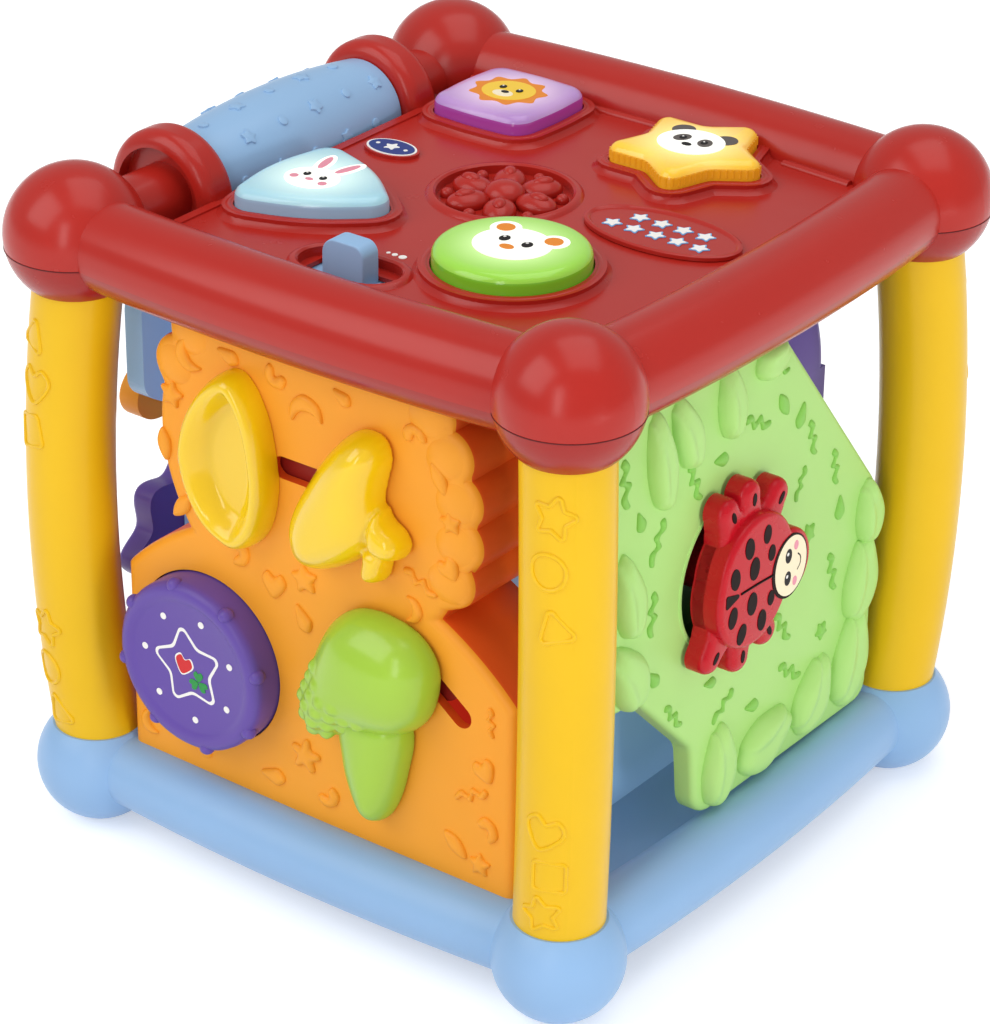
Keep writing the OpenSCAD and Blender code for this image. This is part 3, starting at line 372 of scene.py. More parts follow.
class SurfaceGroups:
    """Shader node groups that the finishes share, each built once."""

    MOULDED = "moulded_surface"
    GLOW = "lamp_glow"
    NUMBER = "NodeSocketFloat"
    COLOUR = "NodeSocketColor"

    @classmethod
    def _sockets(cls, tree: bpy.types.NodeTree, inputs: dict[str, tuple], outputs: dict[str, str]) -> None:
        """Adds named sockets to a group.

        Args:
            tree: The group.
            inputs: Socket type and starting value by name.
            outputs: Socket type by name.
        """
        for name, (kind, value) in inputs.items():
            socket = tree.interface.new_socket(name, in_out="INPUT", socket_type=kind)
            socket.default_value = value
        for name, kind in outputs.items():
            tree.interface.new_socket(name, in_out="OUTPUT", socket_type=kind)

    @classmethod
    def moulded(cls) -> bpy.types.NodeTree:
        """Moulded plastic: flow marks in the colour, uneven gloss and a fine orange-peel skin.

        Returns:
            The node group.
        """
        if cls.MOULDED in bpy.data.node_groups:
            return bpy.data.node_groups[cls.MOULDED]
        tree = bpy.data.node_groups.new(cls.MOULDED, "ShaderNodeTree")
        cls._sockets(tree,
                     {"Colour": (cls.COLOUR, (0.8, 0.8, 0.8, 1)), "Deep Colour": (cls.COLOUR, (0, 0, 0, 1)),
                      "Mottle": (cls.NUMBER, 0.3), "Gloss": (cls.NUMBER, 0.3),
                      "Peel Scale": (cls.NUMBER, 900.0)},
                     {"Colour": cls.COLOUR, "Roughness": cls.NUMBER, "Height": cls.NUMBER})
        nodes, links = tree.nodes, tree.links
        ins, outs = nodes.new("NodeGroupInput"), nodes.new("NodeGroupOutput")
        place = nodes.new("ShaderNodeTexCoord")
        flow = nodes.new("ShaderNodeTexNoise")
        flow.inputs["Scale"].default_value = 26.0
        flow.inputs["Detail"].default_value = 3.0
        cloud = nodes.new("ShaderNodeMath")
        cloud.operation = "MULTIPLY"
        tint = nodes.new("ShaderNodeMix")
        tint.data_type = "RGBA"
        smear = nodes.new("ShaderNodeTexNoise")
        smear.inputs["Scale"].default_value = 160.0
        smear.inputs["Detail"].default_value = 4.0
        uneven = nodes.new("ShaderNodeMapRange")
        uneven.inputs["To Min"].default_value = -0.05
        uneven.inputs["To Max"].default_value = 0.07
        gloss = nodes.new("ShaderNodeMath")
        peel = nodes.new("ShaderNodeTexNoise")
        peel.inputs["Detail"].default_value = 2.0
        for noise in (flow, smear, peel):
            links.new(place.outputs["Object"], noise.inputs["Vector"])
        links.new(flow.outputs["Fac"], cloud.inputs[0])
        links.new(ins.outputs["Mottle"], cloud.inputs[1])
        links.new(cloud.outputs[0], tint.inputs["Factor"])
        links.new(ins.outputs["Colour"], tint.inputs["A"])
        links.new(ins.outputs["Deep Colour"], tint.inputs["B"])
        links.new(tint.outputs["Result"], outs.inputs["Colour"])
        links.new(smear.outputs["Fac"], uneven.inputs["Value"])
        links.new(uneven.outputs["Result"], gloss.inputs[0])
        links.new(ins.outputs["Gloss"], gloss.inputs[1])
        links.new(gloss.outputs[0], outs.inputs["Roughness"])
        links.new(ins.outputs["Peel Scale"], peel.inputs["Scale"])
        links.new(peel.outputs["Fac"], outs.inputs["Height"])
        return tree

    @classmethod
    def glow(cls) -> bpy.types.NodeTree:
        """Light from an emitter below a cap: brightest over the emitter, fading to the rim.

        Returns:
            The node group.
        """
        if cls.GLOW in bpy.data.node_groups:
            return bpy.data.node_groups[cls.GLOW]
        tree = bpy.data.node_groups.new(cls.GLOW, "ShaderNodeTree")
        cls._sockets(tree,
                     {"Position": ("NodeSocketVector", (0, 0, 0)), "Reach": (cls.NUMBER, 0.02),
                      "Lamp": (cls.COLOUR, (1, 1, 1, 1)), "Body": (cls.COLOUR, (0.5, 0.5, 0.5, 1))},
                     {"Colour": cls.COLOUR, "Mask": cls.NUMBER})
        nodes, links = tree.nodes, tree.links
        ins, outs = nodes.new("NodeGroupInput"), nodes.new("NodeGroupOutput")
        length = nodes.new("ShaderNodeVectorMath")
        length.operation = "LENGTH"
        fade = nodes.new("ShaderNodeMapRange")
        fade.interpolation_type = "SMOOTHSTEP"
        fade.inputs["To Min"].default_value = 1.0
        fade.inputs["To Max"].default_value = 0.0
        tint = nodes.new("ShaderNodeMix")
        tint.data_type = "RGBA"
        links.new(ins.outputs["Position"], length.inputs[0])
        links.new(length.outputs["Value"], fade.inputs["Value"])
        links.new(ins.outputs["Reach"], fade.inputs["From Max"])
        links.new(fade.outputs["Result"], tint.inputs["Factor"])
        links.new(ins.outputs["Body"], tint.inputs["A"])
        links.new(ins.outputs["Lamp"], tint.inputs["B"])
        links.new(tint.outputs["Result"], outs.inputs["Colour"])
        links.new(fade.outputs["Result"], outs.inputs["Mask"])
        return tree


@dataclass(frozen=True)
class Plastic:
    """Opaque moulded plastic.

    Attributes:
        name: Name of the material.
        colour: sRGB colour.
        gloss: Mean roughness.
        mottle: Share of the deeper flow-mark colour.
        coat: Weight of the clear skin.
        peel: Depth of the moulded skin, in millimetres.
        peel_scale: Scale of the moulded skin.
        through: Light that comes through the thin wall from the far side.
        specular: Strength of the mirror-like reflection.
    """

    name: str
    colour: Colour
    gloss: float = 0.3
    mottle: float = 0.35
    coat: float = 0.0
    peel: float = 0.03
    peel_scale: float = 700.0
    # through: Emission in the surface's own colour: lamp light through the wall of a lit cap, elsewhere a
    # painted glow that brightens the surface.
    through: float = 0.0
    specular: float = 0.28

    def material(self) -> bpy.types.Material:
        """The material, built on first use.

        Returns:
            The material.
        """
        key = f"{self.name}_finish"
        if key in bpy.data.materials:
            return bpy.data.materials[key]
        made = bpy.data.materials.new(key)
        made.use_nodes = True
        made.diffuse_color = linear(self.colour)
        self.wire(made.node_tree)
        return made

    def wire(self, tree: bpy.types.NodeTree) -> bpy.types.Node:
        """Joins the moulded surface to the material's shader.

        Args:
            tree: The material's nodes.

        Returns:
            The shader node.
        """
        shader = tree.nodes["Principled BSDF"]
        group = tree.nodes.new("ShaderNodeGroup")
        group.node_tree = SurfaceGroups.moulded()
        base = linear(self.colour)
        group.inputs["Colour"].default_value = base
        group.inputs["Deep Colour"].default_value = tuple(0.72 * c for c in base[:3]) + (1.0,)
        group.inputs["Mottle"].default_value = self.mottle
        group.inputs["Gloss"].default_value = self.gloss
        group.inputs["Peel Scale"].default_value = self.peel_scale
        bump = tree.nodes.new("ShaderNodeBump")
        bump.inputs["Strength"].default_value = 0.35
        bump.inputs["Distance"].default_value = self.peel * MM
        tree.links.new(group.outputs["Colour"], shader.inputs["Base Color"])
        tree.links.new(group.outputs["Roughness"], shader.inputs["Roughness"])
        tree.links.new(group.outputs["Height"], bump.inputs["Height"])
        tree.links.new(bump.outputs["Normal"], shader.inputs["Normal"])
        shader.inputs["Coat Weight"].default_value = self.coat
        shader.inputs["Coat Roughness"].default_value = 0.12
        shader.inputs["IOR"].default_value = 1.5
        shader.inputs["Specular IOR Level"].default_value = self.specular
        # Emission in the surface's own colour: lamp light on the lit caps, painted glow on the other finishes
        if self.through > 0:
            tree.links.new(group.outputs["Colour"], shader.inputs["Emission Color"])
            shader.inputs["Emission Strength"].default_value = self.through
        return shader


@dataclass(frozen=True)
class LitPlastic(Plastic):
    """Translucent plastic with an emitter under its middle.

    Attributes:
        lamp: sRGB colour over the emitter.
        centre: Place of the emitter in the cube's frame, in millimetres.
        reach: Distance at which the light has faded.
        strength: Strength of the light that leaves the surface.
    """

    lamp: Colour = (255, 255, 255)
    centre: tuple[float, float, float] = (0.0, 0.0, 0.0)
    reach: float = 20.0
    strength: float = 0.7

    def wire(self, tree: bpy.types.NodeTree) -> bpy.types.Node:
        """Adds the emitter's light to the plastic.

        Args:
            tree: The material's nodes.

        Returns:
            The shader node.
        """
        shader = Plastic.wire(self, tree)
        place = tree.nodes.new("ShaderNodeTexCoord")
        centred = tree.nodes.new("ShaderNodeMapping")
        centred.inputs["Location"].default_value = tuple(-c * MM for c in self.centre)
        glow = tree.nodes.new("ShaderNodeGroup")
        glow.node_tree = SurfaceGroups.glow()
        glow.inputs["Reach"].default_value = self.reach * MM
        glow.inputs["Lamp"].default_value = linear(self.lamp)
        glow.inputs["Body"].default_value = tuple(0.3 * c for c in linear(self.colour)[:3]) + (1.0,)
        tree.links.new(place.outputs["Object"], centred.inputs["Vector"])
        tree.links.new(centred.outputs["Vector"], glow.inputs["Position"])
        tree.links.new(glow.outputs["Colour"], shader.inputs["Emission Color"])
        shader.inputs["Emission Strength"].default_value = self.strength
        shader.inputs["Subsurface Weight"].default_value = 0.3
        shader.inputs["Subsurface Radius"].default_value = (0.006, 0.006, 0.004)
        shader.inputs["Coat Weight"].default_value = 0.5
        return shader


@dataclass(frozen=True)
class Steel(Plastic):
    """Zinc-plated steel."""

    def wire(self, tree: bpy.types.NodeTree) -> bpy.types.Node:
        """Makes the surface metal.

        Args:
            tree: The material's nodes.

        Returns:
            The shader node.
        """
        shader = Plastic.wire(self, tree)
        shader.inputs["Metallic"].default_value = 1.0
        shader.inputs["Coat Weight"].default_value = 0.0
        return shader


class Paint:
    """The finishes of the cube."""

    RED = Plastic("red_shell", (180, 38, 29), gloss=0.24, specular=0.36)
    # Deeper red on the lower red moulding: painted shade of its underside
    RED_UNDER_SHADE = Plastic("red_underframe_shade", (164, 34, 29), gloss=0.24, specular=0.36)
    RED_SEAM = Plastic("red_joint_line", (96, 18, 20), gloss=0.5)
    YELLOW = Plastic("yellow_post", (240, 192, 22), gloss=0.3)
    # Its emission is a painted glow that brightens the base, the border and the cloud
    BLUE = Plastic("pale_blue_base", (144, 182, 224), gloss=0.34, through=0.07)
    # Lighter blue with a stronger emission on the core column and the left panel: painted light on their
    # shaded faces
    BLUE_PAINTED_GLOW = Plastic("pale_blue_painted_glow", (150, 190, 232), gloss=0.36, through=0.22)
    ORANGE = Plastic("orange_panel", (252, 167, 46), gloss=0.42)
    # Deeper orange-red for the side walls of the orange panel: painted shade
    ORANGE_SIDE_SHADE = Plastic("orange_wall", (236, 92, 28), gloss=0.45)
    # Deep red with a strong emission on the back of the orange box: painted shade of the inside, with a
    # painted glow
    ORANGE_INSIDE_SHADE_GLOW = Plastic("orange_inside_painted_light", (190, 44, 26), gloss=0.45, through=0.55)
    # Its emission is a painted glow that brightens the panel
    GREEN = Plastic("green_panel", (176, 222, 128), gloss=0.4, through=0.05)
    # Deeper green for the raised reliefs on the green panel: painted shade along them
    GREEN_RELIEF_SHADE = Plastic("green_relief_painted_shade", (140, 204, 90), gloss=0.42)
    # Dark green inside the recess: painted shade
    GREEN_RECESS_SHADE = Plastic("green_recess_painted_shade", (46, 104, 34), gloss=0.5)
    PURPLE = Plastic("purple_shell", (102, 78, 166), gloss=0.32)
    ROLLER = Plastic("roller_blue", (150, 188, 226), gloss=0.3)
    FRUIT = Plastic("fruit_yellow", (246, 206, 14), gloss=0.16, coat=0.35, specular=0.5)
    BROCCOLI = Plastic("broccoli_green", (164, 206, 62), gloss=0.22, coat=0.2, specular=0.4)
    LADYBIRD = Plastic("ladybird_red", (198, 20, 36), gloss=0.26)
    BLACK = Plastic("print_black", (24, 20, 22), gloss=0.4, specular=0.15)
    SPOT = Plastic("print_spot", (26, 8, 6), gloss=0.45, specular=0.08)
    WHITE = Plastic("print_white", (246, 244, 240), gloss=0.35, mottle=0.1)
    LIT_WHITE = Plastic("print_lit_white", (250, 250, 242), gloss=0.35, mottle=0.0, through=0.3)
    CREAM = Plastic("print_cream", (250, 236, 202), gloss=0.35, mottle=0.1)
    PINK = Plastic("print_pink", (236, 150, 170), gloss=0.35)
    TANGERINE = Plastic("print_tangerine", (238, 140, 30), gloss=0.35)
    SUN = Plastic("print_sun", (252, 208, 60), gloss=0.35)
    GREY = Plastic("print_grey", (92, 84, 80), gloss=0.35)
    NAVY = Plastic("badge_navy", (28, 58, 132), gloss=0.3)
    SKY = Plastic("print_sky", (120, 176, 226), gloss=0.35)
    CHERRY = Plastic("print_cherry", (214, 40, 44), gloss=0.35)
    CLOVER = Plastic("print_clover", (40, 150, 70), gloss=0.35)
    STEEL = Steel("zinc_steel", (184, 186, 191), gloss=0.3, mottle=0.2)
    RUBBER = Plastic("dome_silicone", (215, 214, 208), gloss=0.6)
    BOARD = Plastic("circuit_green", (22, 92, 52), gloss=0.45)
    DARK = Plastic("speaker_grey", (62, 62, 66), gloss=0.5)
    CELL = Plastic("cell_jacket", (78, 82, 90), gloss=0.3)
    WIRE = Plastic("wire_sleeve", (166, 30, 30), gloss=0.45)
    RETAINER = Plastic("retainer_red", (150, 34, 26), gloss=0.45)


# Modelling


class Bench:
    """Modelling moves, made with Blender's own operators in a piece's own millimetres."""

    @staticmethod
    def clear() -> None:
        """Leaves edit mode and deselects everything."""
        if bpy.context.object is not None and bpy.context.object.mode != "OBJECT":
            bpy.ops.object.mode_set(mode="OBJECT")
        bpy.ops.object.select_all(action="DESELECT")

    @staticmethod
    def pick(*pieces: bpy.types.Object) -> None:
        """Selects pieces; the first one becomes active.

        Args:
            pieces: The pieces to select.
        """
        Bench.clear()
        for piece in pieces:
            piece.select_set(True)
        bpy.context.view_layer.objects.active = pieces[0]

    @staticmethod
    def face(outline: Outline) -> bpy.types.Object:
        """Flat face with the given outline.

        Args:
            outline: Its points, counter-clockwise.

        Returns:
            The new piece.
        """
        Bench.clear()
        bpy.ops.mesh.primitive_circle_add(vertices=len(outline), radius=1.0, fill_type="NGON")
        piece = bpy.context.object
        for vertex, (x, y) in zip(piece.data.vertices, outline):
            vertex.co = (x, y, 0.0)
        return piece

    @staticmethod
    def slab(outline: Outline, low: float, high: float, edge: float = 0.0, steps: int = 3,
             clamp: bool = True) -> bpy.types.Object:
        """Plate of the given outline with a rounded upper rim.

        Args:
            outline: Its points, counter-clockwise.
            low: Height of its underside.
            high: Height of its face.
            edge: Radius of the rounded rim.
            steps: Facets across the rounding.
            clamp: Whether the rounding stops where it would overlap.

        Returns:
            The new piece.
        """
        piece = Bench.face(outline)
        bpy.ops.object.mode_set(mode="EDIT")
        bpy.ops.mesh.select_all(action="SELECT")
        bpy.ops.transform.translate(value=(0, 0, low))
        bpy.ops.mesh.extrude_region_move(TRANSFORM_OT_translate={"value": (0, 0, high - low)})
        if edge > 0:
            bpy.ops.mesh.region_to_loop()
            bpy.ops.mesh.bevel(offset=edge, segments=steps, affect="EDGES", clamp_overlap=clamp)
        bpy.ops.mesh.select_all(action="SELECT")
        bpy.ops.mesh.normals_make_consistent(inside=False)
        bpy.ops.object.mode_set(mode="OBJECT")
        return piece

    @staticmethod
    def lathe(profile: Outline, steps: int = 64) -> bpy.types.Object:
        """Turned piece about its own w axis.

        Args:
            profile: Radius and height of each point, from the axis round and back to it.
            steps: Facets round the piece.

        Returns:
            The new piece.
        """
        Bench.clear()
        bpy.ops.mesh.primitive_circle_add(vertices=max(len(profile), 3), radius=1.0, fill_type="NOTHING")
        piece = bpy.context.object
        for vertex, (r, z) in zip(piece.data.vertices, profile):
            vertex.co = (r, 0.0, z)
        bpy.ops.object.mode_set(mode="EDIT")
        bpy.ops.mesh.select_all(action="SELECT")
        bpy.ops.mesh.spin(steps=steps, angle=2 * math.pi, center=(0, 0, 0), axis=(0, 0, 1),
                          use_auto_merge=True)
        bpy.ops.mesh.select_all(action="SELECT")
        bpy.ops.mesh.remove_doubles(threshold=0.004)
        bpy.ops.mesh.dissolve_degenerate(threshold=0.001)
        bpy.ops.mesh.normals_make_consistent(inside=False)
        bpy.ops.object.mode_set(mode="OBJECT")
        return piece

    @staticmethod
    def loft(rings: list[Path3], hollow: bool) -> bpy.types.Object:
        """Skin over rings of equal counts, extruded from one ring to the next.

        Args:
            rings: The rings, in order.
            hollow: Whether the last ring joins the first one; otherwise both ends are closed.

        Returns:
            The new piece.
        """
        Bench.clear()
        count = len(rings[0])
        bpy.ops.mesh.primitive_circle_add(vertices=count, radius=1.0, fill_type="NOTHING")
        piece = bpy.context.object
        bpy.ops.object.mode_set(mode="EDIT")
        bpy.ops.mesh.select_all(action="SELECT")
        for _ in rings[1:]:
            bpy.ops.mesh.extrude_region_move(TRANSFORM_OT_translate={"value": (0, 0, 1)})
        if not hollow:
            bpy.ops.mesh.edge_face_add()
        bpy.ops.mesh.select_all(action="DESELECT")
        bpy.ops.object.mode_set(mode="OBJECT")
        for vertex, place in zip(piece.data.vertices, [p for ring in rings for p in ring]):
            vertex.co = place
        for edge in piece.data.edges:
            low, high = sorted(edge.vertices)
            edge.select = high < count or (hollow and low >= count * (len(rings) - 1))
        bpy.ops.object.mode_set(mode="EDIT")
        bpy.ops.mesh.select_mode(type="EDGE")
        if hollow:
            bpy.ops.mesh.bridge_edge_loops()
        else:
            bpy.ops.mesh.edge_face_add()
        bpy.ops.mesh.select_mode(type="VERT")
        bpy.ops.mesh.select_all(action="SELECT")
        bpy.ops.mesh.normals_make_consistent(inside=False)
        bpy.ops.object.mode_set(mode="OBJECT")
        return piece

    @staticmethod
    def ball(radii: tuple[float, float, float], at: tuple[float, float, float], turn: float = 0.0,
             segments: int = 32) -> bpy.types.Object:
        """Egg of the given half sizes, turned about w by degrees.

        Args:
            radii: Its half sizes.
            at: Its middle.
            turn: Turn about w, in degrees.
            segments: Facets round it.

        Returns:
            The new piece.
        """
        Bench.clear()
        bpy.ops.mesh.primitive_uv_sphere_add(segments=segments, ring_count=segments // 2, radius=1.0)
        piece = bpy.context.object
        size = Matrix.Diagonal((*radii, 1.0))
        piece.data.transform(Matrix.Translation(at) @ Matrix.Rotation(math.radians(turn), 4, "Z") @ size)
        return piece

    @staticmethod
    def join(pieces: list[bpy.types.Object]) -> bpy.types.Object:
        """Makes one object of several, keeping their materials.

        Args:
            pieces: The pieces to join.

        Returns:
            The joined piece.
        """
        Bench.pick(*pieces)
        if len(pieces) > 1:
            bpy.ops.object.join()
        return bpy.context.view_layer.objects.active

    @staticmethod
    def apply(piece: bpy.types.Object, kind: str, **settings: object) -> bpy.types.Object:
        """Adds a modifier with its settings and applies it.

        Args:
            piece: The piece to change.
            kind: Blender's modifier type.
            settings: The modifier's own settings.

        Returns:
            The same piece.
        """
        Bench.pick(piece)
        modifier = piece.modifiers.new(kind.lower(), kind)
        for name, value in settings.items():
            setattr(modifier, name, value)
        bpy.ops.object.modifier_apply(modifier=modifier.name)
        return piece

    @staticmethod
    def melt(pieces: list[bpy.types.Object], voxel: float, smooth: int = 6) -> bpy.types.Object:
        """Melts pieces into one soft-edged skin.

        Args:
            pieces: The pieces, which overlap.
            voxel: Size of the new faces.
            smooth: Rounds of smoothing.

        Returns:
            The melted piece.
        """
        piece = Bench.join(pieces)
        Bench.apply(piece, "REMESH", mode="VOXEL", voxel_size=voxel, use_smooth_shade=True)
        return Bench.apply(piece, "SMOOTH", factor=0.5, iterations=smooth)

    @staticmethod
    def trim(piece: bpy.types.Object) -> bpy.types.Object:
        """Cuts the piece flat at its back, just above w = 0, and closes it.

        Args:
            piece: The piece to cut.

        Returns:
            The same piece.
        """
        Bench.pick(piece)
        bpy.ops.object.mode_set(mode="EDIT")
        bpy.ops.mesh.select_all(action="SELECT")
        bpy.ops.mesh.bisect(plane_co=(0, 0, 0.02), plane_no=(0, 0, 1), clear_inner=True, use_fill=True)
        bpy.ops.object.mode_set(mode="OBJECT")
        return piece

    @staticmethod
    def cut(piece: bpy.types.Object, tool: bpy.types.Object,
            operation: str = "DIFFERENCE") -> bpy.types.Object:
        """Cuts a piece with another, or joins it on, and removes the tool.

        Args:
            piece: The piece to change.
            tool: The other piece.
            operation: Blender's name for the move.

        Returns:
            The same piece.
        """
        Bench.apply(piece, "BOOLEAN", object=tool, operation=operation, solver="EXACT")
        bpy.data.objects.remove(tool)
        return piece

    @staticmethod
    def cushion(outline: Outline, height: float, shoulder: float, voxel: float = 0.6, foot: float = 1.0,
                hollow: float = 0.0, smooth: int = 5) -> bpy.types.Object:
        """Pillowed form that rises from its outline in a round shoulder.

        Args:
            outline: Its points, counter-clockwise.
            height: Height of its crown.
            shoulder: Width of the shoulder round its edge.
            voxel: Size of its faces.
            foot: Height of the upright wall below the shoulder.
            hollow: Depth of a bowl in its middle, inside the shoulder.
            smooth: Rounds of smoothing.

        Returns:
            The new piece, standing on w = 0.
        """
        piece = Bench.slab(outline, 0.0, height)
        Bench.apply(piece, "REMESH", mode="VOXEL", voxel_size=voxel, use_smooth_shade=True)
        count = len(piece.data.vertices)
        co = np.empty(count * 3)
        piece.data.vertices.foreach_get("co", co)
        co = co.reshape(-1, 3)
        edge = distance_to(outline, co[:, :2])
        share = np.clip(edge / shoulder, 0.0, 1.0)
        crown = foot + (height - foot) * np.sqrt(1 - (1 - share) ** 2)
        if hollow > 0:
            bowl = np.clip((edge - shoulder) / (0.5 * (edge.max() - shoulder)), 0.0, 1.0)
            crown -= hollow * (3 * bowl ** 2 - 2 * bowl ** 3)
        co[:, 2] *= crown / height
        piece.data.vertices.foreach_set("co", co.reshape(-1))
        piece.data.update()
        return Bench.apply(piece, "SMOOTH", factor=0.5, iterations=smooth)

    @staticmethod
    def rest_on(piece: bpy.types.Object, at: Point) -> float:
        """Height of a piece's skin over a point of its back.

        Args:
            piece: The piece, standing on w = 0.
            at: The point.

        Returns:
            The height, or 0 beside the piece.
        """
        hit, place, _, _ = piece.ray_cast(Vector((*at, 99.0)), Vector((0, 0, -1)))
        return place.z if hit else 0.0

    @staticmethod
    def strokes(paths: list[Path3], radius: float, closed: bool = False, sides: int = 2) -> bpy.types.Object:
        """Round beads along paths.

        Args:
            paths: The points of each bead.
            radius: Radius of the beads.
            closed: Whether each bead joins up.
            sides: Facets in each quarter of the bead.

        Returns:
            The new piece.
        """
        Bench.clear()
        data = bpy.data.curves.new("bead", "CURVE")
        data.dimensions = "3D"
        data.bevel_depth = radius
        data.bevel_resolution = sides
        data.use_fill_caps = not closed
        for path in paths:
            spline = data.splines.new("POLY")
            spline.points.add(len(path) - 1)
            for point, place in zip(spline.points, path):
                point.co = (*place, 1.0)
            spline.use_cyclic_u = closed
        piece = bpy.data.objects.new("bead", data)
        bpy.context.scene.collection.objects.link(piece)
        Bench.pick(piece)
        bpy.ops.object.convert(target="MESH")
        return bpy.context.object

    @staticmethod
    def paint(piece: bpy.types.Object, finish: Plastic) -> bpy.types.Object:
        """Gives the whole piece one finish.

        Args:
            piece: The piece to paint.
            finish: Its finish.

        Returns:
            The same piece.
        """
        piece.data.materials.clear()
        piece.data.materials.append(finish.material())
        return piece

    @staticmethod
    def paint_sides(piece: bpy.types.Object, finish: Plastic, rise: float) -> bpy.types.Object:
        """Gives the sides of a painted piece a second finish.

        Args:
            piece: The painted piece, in its own millimetres.
            finish: The finish of its sides.
            rise: Faces whose normal points less than this along w are sides.

        Returns:
            The same piece.
        """
        piece.data.materials.append(finish.material())
        for polygon in piece.data.polygons:
            polygon.material_index = int(polygon.normal.z < rise)
        return piece

    @staticmethod
    def place(piece: bpy.types.Object, matrix: Matrix) -> bpy.types.Object:
        """Moves the piece's mesh, so that its object stays at the origin."""
        piece.data.transform(matrix)
        return piece


def distance_to(outline: Outline, points: np.ndarray) -> np.ndarray:
    """Distance of points from a closed outline.

    Args:
        outline: The outline's points.
        points: Rows of x and y.

    Returns:
        A distance for each row.
    """
    best = np.full(len(points), np.inf)
    for (ax, ay), (bx, by) in zip(outline, outline[1:] + outline[:1]):
        dx, dy = bx - ax, by - ay
        span = dx * dx + dy * dy
        if span < 1e-12:
            continue
        t = np.clip(((points[:, 0] - ax) * dx + (points[:, 1] - ay) * dy) / span, 0.0, 1.0)
        best = np.minimum(best, np.hypot(points[:, 0] - ax - t * dx, points[:, 1] - ay - t * dy))
    return best


def hand_over(piece: bpy.types.Object, name: str, body: str, replaces: tuple[str, ...] = (),
              angle: float = 38.0) -> bpy.types.Object:
    """Names a finished piece, shades it and joins it to its body.

    Args:
        piece: The finished piece.
        name: Its name.
        body: The body that it moves with.
        replaces: Solids that it stands for.
        angle: Edges sharper than this stay sharp, in degrees.

    Returns:
        The same piece.
    """
    piece.name = name
    piece.data.name = name
    Bench.pick(piece)
    bpy.ops.object.shade_smooth_by_angle(angle=math.radians(angle))
    Bench.clear()
    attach(piece, body)
    if replaces:
        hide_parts(*replaces)
    LOG.info("%s on %s: %d faces", name, body, len(piece.data.polygons))
    return piece


@dataclass(frozen=True)
class Print:
    """A flat printed shape.

    Attributes:
        outline: Its outline in the artwork's own millimetres.
        finish: Its ink.
        layer: Its place in the stack of inks, from 0.
    """

    outline: Outline
    finish: Plastic
    layer: int = 0


def printed(name: str, art: list[Print], place: Matrix, body: str) -> bpy.types.Object:
    """Pad-printed artwork, each ink a film on the face below it.

    Args:
        name: Name of the piece.
        art: The printed shapes.
        place: Where the artwork's plane lies.
        body: The body that it moves with.

    Returns:
        The finished piece.
    """
    films = []
    for shape in art:
        ink = Bench.slab(shape.outline, -INK_ROOT, FILM * (shape.layer + 1))
        films.append(Bench.paint(ink, shape.finish))
    return hand_over(Bench.place(Bench.join(films), place), name, body)


# Sub-assemblies


class Cap(Enum):
    """The four push buttons."""

    ROUND = "round"
    SQUARE = "square"
    TRIANGLE = "triangle"
    STAR = "star"

    @property
    def body(self) -> str:
        """The body that the cap moves with."""
        return f"{self.value}_button"

    @property
    def slot(self) -> str:
        """The record's material slot of the cap."""
        tints = {Cap.ROUND: "green", Cap.SQUARE: "lavender", Cap.TRIANGLE: "pale_blue", Cap.STAR: "yellow"}
        return f"button_{tints[self]}"


@dataclass(frozen=True)
class Tint:
    """Colours of a lit cap.

    Attributes:
        crown: sRGB colour of the crown.
        lamp: sRGB colour over the emitter.
        wall: sRGB colour of the wall.
    """

    crown: Colour
    lamp: Colour
    wall: Colour


